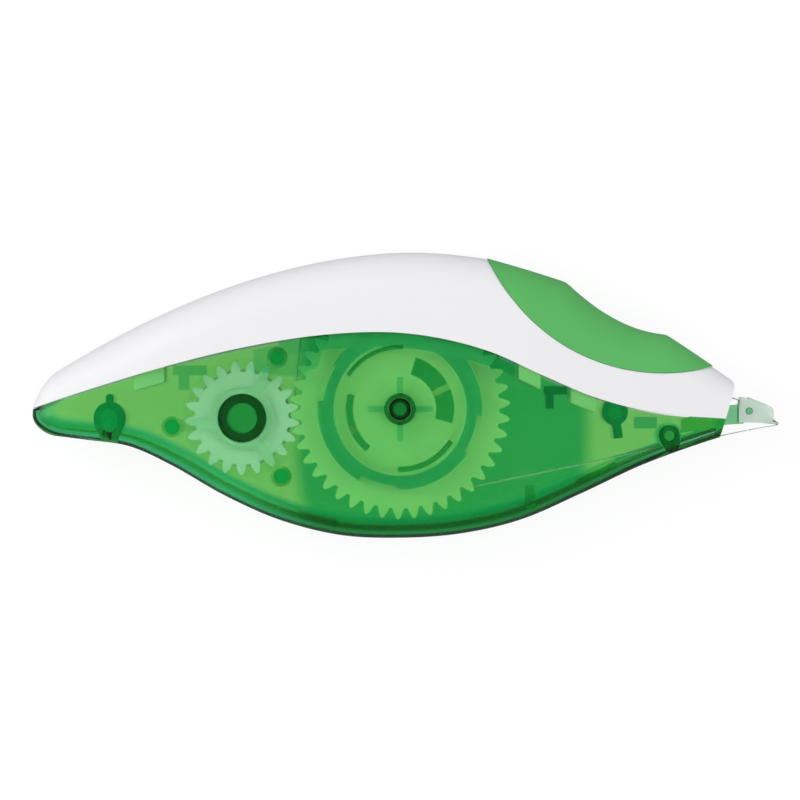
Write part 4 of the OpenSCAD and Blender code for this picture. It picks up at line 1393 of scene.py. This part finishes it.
def finished(name, mesh, node, material):
    """Piece of the object that stands for one node of the part."""
    row = frame["record"]
    body_name = next(carrier for carrier, members in row["behaviour"]["bodies"].items() if node in members)
    mesh.transform(Matrix.Scale(MM, 4))
    mesh.shade_smooth()
    mesh.set_sharp_from_angle(angle=SHARP_ANGLE)
    mesh.name = name
    mesh.materials.clear()
    mesh.materials.append(material)
    piece = shown(name, mesh)
    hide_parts(node)
    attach(piece, body_name)


WHEEL = wheel_tree()
PIECES = (
    ("rear_shell", rear_shell(), "rear_case", REAR_SHADED_GREEN),
    ("front_shell", front_shell(), "front_case", CASE_GREEN),
    ("front_hub_ring", front_hub_ring(), "front_case", AXLE_GREEN),
    ("cover_shell", cover_shell(), "top_cover", COVER_WHITE),
    ("cover_tabs", cover_tabs(), "top_cover", TAB_PALE),
    ("grip_skin", grip_skin(), "grip_pad", GRIP_GREEN),
    ("supply_axle", supply_axle(), "reel_post", AXLE_GREEN),
    ("supply_wheel", supply_wheel(WHEEL, GEAR_NATURAL), "supply_gear", GEAR_NATURAL),
    ("clutch_arms", clutch_arms(), "clutch_spring", GEAR_NATURAL),
    ("supply_spool", supply_spool(), "supply_reel", TIP_GREEN),
    ("tape_roll", tape_roll(), "supply_tape", WOUND_TAPE),
    ("take_up_axle", take_up_axle(), "take_up_post", AXLE_GREEN),
    ("take_up_wheel", take_up_wheel(WHEEL, GEAR_WHITE), "take_up_gear", GEAR_WHITE),
    ("take_up_rim", take_up_rim(), "take_up_flange", RETAINER_CLEAR),
    ("film_winding", film_winding(), "take_up_tape", WOUND_FILM),
    ("retainer_plate", retainer_plate(), "take_up_retainer", RETAINER_CLEAR),
    ("feed_guide", feed_guide(), "feed_guide_post", AXLE_GREEN),
    ("crown_guide_near_nose", crown_guide(1), "crown_guide_front", AXLE_GREEN),
    ("crown_guide_near_tail", crown_guide(-1), "crown_guide_rear", AXLE_GREEN),
    ("feed_tape", feed_tape(), "tape_feed", TAPE_WHITE),
    ("tip_tape", tip_tape(), "tape_tip_loop", TAPE_WHITE),
    ("used_film", used_film(), "tape_return", BACKING_FILM),
    ("tip_neck", tip_neck(), "tip_holder", TIP_GREEN),
    ("tip_plates", tip_plates(), "applicator_tip", PLATE_CLEAR),
    ("tilt_pin", tilt_pin(), "tip_pin", TIP_GREEN),
)
for made in PIECES:
    finished(*made)


# Floor

FLOOR_REACH = 3.0
FLOOR_Z = -0.0001
FLOOR_GLOW = 0.86
FLOOR_GLOW_SHADOWED = 0.6  # seen through the clear case, dimmer as a painted shadow under the object
FLOOR_GREY = (0.82, 0.82, 0.82)
FLOOR_SEEN_GREY = (0.15, 0.15, 0.15)


def floor_finish():
    """Pale floor that is white to the camera and keeps a faint shadow, and glows dimmer through the clear
    case as a painted shadow.
    """
    material = bpy.data.materials.new("studio_floor")
    material.use_nodes = True
    tree = material.node_tree
    tree.nodes.remove(tree.nodes["Principled BSDF"])
    path = tree.nodes.new("ShaderNodeLightPath").outputs
    bare = maths(tree, "MULTIPLY", path["Is Camera Ray"], FLOOR_GLOW)
    # Painted shadow: the floor seen through the clear case glows dimmer than to the camera
    through = maths(tree, "MULTIPLY", path["Is Transmission Ray"], FLOOR_GLOW_SHADOWED)
    glow = added(tree, "ShaderNodeEmission", Strength=maths(tree, "MAXIMUM", bare, through))
    seen = maths(tree, "MAXIMUM", path["Is Camera Ray"], path["Is Glossy Ray"])
    grey = mixed(tree, seen, opaque(FLOOR_GREY), opaque(FLOOR_SEEN_GREY))
    paper = added(tree, "ShaderNodeBsdfDiffuse", Color=grey)
    both = tree.nodes.new("ShaderNodeAddShader")
    tree.links.new(glow.outputs[0], both.inputs[0])
    tree.links.new(paper.outputs[0], both.inputs[1])
    tree.links.new(both.outputs[0], tree.nodes["Material Output"].inputs["Surface"])
    return material


def studio_floor():
    """Wide floor just under the object."""
    corners = [(x * FLOOR_REACH, y * FLOOR_REACH, FLOOR_Z) for x, y in ((-1, -1), (1, -1), (1, 1), (-1, 1))]
    mesh = bpy.data.meshes.new("studio_floor")
    mesh.from_pydata(corners, [], [(0, 1, 2, 3)])
    mesh.materials.append(floor_finish())
    shown("studio_floor", mesh)


# Light

# Heights and side shares of the sky where the light changes, and its levels there
DOME_TURN = (0.6, 0.75)
DOME_LEVELS = (1.33, 1.43)
DOME_SIDE = 0.25
MIRROR_TURN = (0.45, 0.7)
MIRROR_LEVELS = (1.2, 0.05)
MIRROR_SIDE = 0.15
SIDE_TURN = (0.3, 0.65)
HORIZON_TURN = (0.1, 0.3)
HORIZON_LEVEL = 0.5


def studio_world():
    """White dome, dimmer at the crown and keel sides, whose overhead part the clear case doesn't mirror."""
    world = bpy.data.worlds.new("studio")
    world.use_nodes = True
    tree = world.node_tree
    directions = tree.nodes.new("ShaderNodeTexCoord").outputs["Generated"]
    towards = added(tree, "ShaderNodeSeparateXYZ", Vector=directions).outputs
    height = towards["Z"]
    sideways = maths(tree, "ABSOLUTE", towards["Y"])

    def dimmed(turn, levels, side):
        """Light by height, dimmed towards the crown and keel sides."""
        to_side = faded(tree, sideways, SIDE_TURN, (1.0, side))
        return maths(tree, "MULTIPLY", faded(tree, height, turn, levels), to_side)

    path = tree.nodes.new("ShaderNodeLightPath").outputs
    unscattered = maths(tree, "LESS_THAN", path["Diffuse Depth"], 0.5)
    straight = maths(tree, "MULTIPLY", path["Is Transmission Ray"], unscattered)
    mirrored = maths(tree, "MULTIPLY", path["Is Glossy Ray"], unscattered)
    dome = dimmed(DOME_TURN, DOME_LEVELS, DOME_SIDE)
    ends = dimmed(MIRROR_TURN, MIRROR_LEVELS, MIRROR_SIDE)
    light = added(tree, "ShaderNodeMix", Factor=mirrored, A=dome, B=ends).outputs["Result"]
    horizon = maths(tree, "MULTIPLY", straight, faded(tree, height, HORIZON_TURN, (HORIZON_LEVEL, 0.0)))
    seen = maths(tree, "MAXIMUM", path["Is Camera Ray"], horizon)
    backdrop = tree.nodes["Background"].inputs
    backdrop["Color"].default_value = (1, 1, 1, 1)
    tree.links.new(maths(tree, "MAXIMUM", light, seen), backdrop["Strength"])
    return world


LAMP_AT = (-0.5, 0.3, 0.35)
LAMP_WIDTH = 0.4
LAMP_POWER = 1.0


def key_lamp():
    """Square soft lamp at the tail end that faces the object."""
    lamp = bpy.data.lights.new("key_lamp", "AREA")
    lamp.shape = "SQUARE"
    lamp.size = LAMP_WIDTH
    lamp.energy = LAMP_POWER
    holder = shown("key_lamp", lamp)
    holder.location = LAMP_AT
    holder.rotation_euler = (-Vector(LAMP_AT)).to_track_quat("-Z", "Y").to_euler()


# Camera at the photograph's viewing angle

FRAME_PIXELS = 800
PIXELS_PER_MM = 6
FRAME_WIDTH = FRAME_PIXELS / PIXELS_PER_MM * MM
VIEW_Y = 1.5 * MM
LENS = 250.0
SENSOR = 36.0


def photo_camera():
    """Camera straight above the flat side."""
    lens = bpy.data.cameras.new("photo_camera")
    lens.lens = LENS
    lens.sensor_width = SENSOR
    camera = shown("photo_camera", lens)
    camera.location = (0, VIEW_Y, MID * MM + FRAME_WIDTH * LENS / SENSOR)
    return camera


studio_floor()
key_lamp()
scene.world = studio_world()
scene.camera = photo_camera()
scene.view_settings.view_transform = "Standard"
scene.cycles.max_bounces = 24
scene.cycles.transmission_bounces = 24
scene.cycles.blur_glossy = 0.0
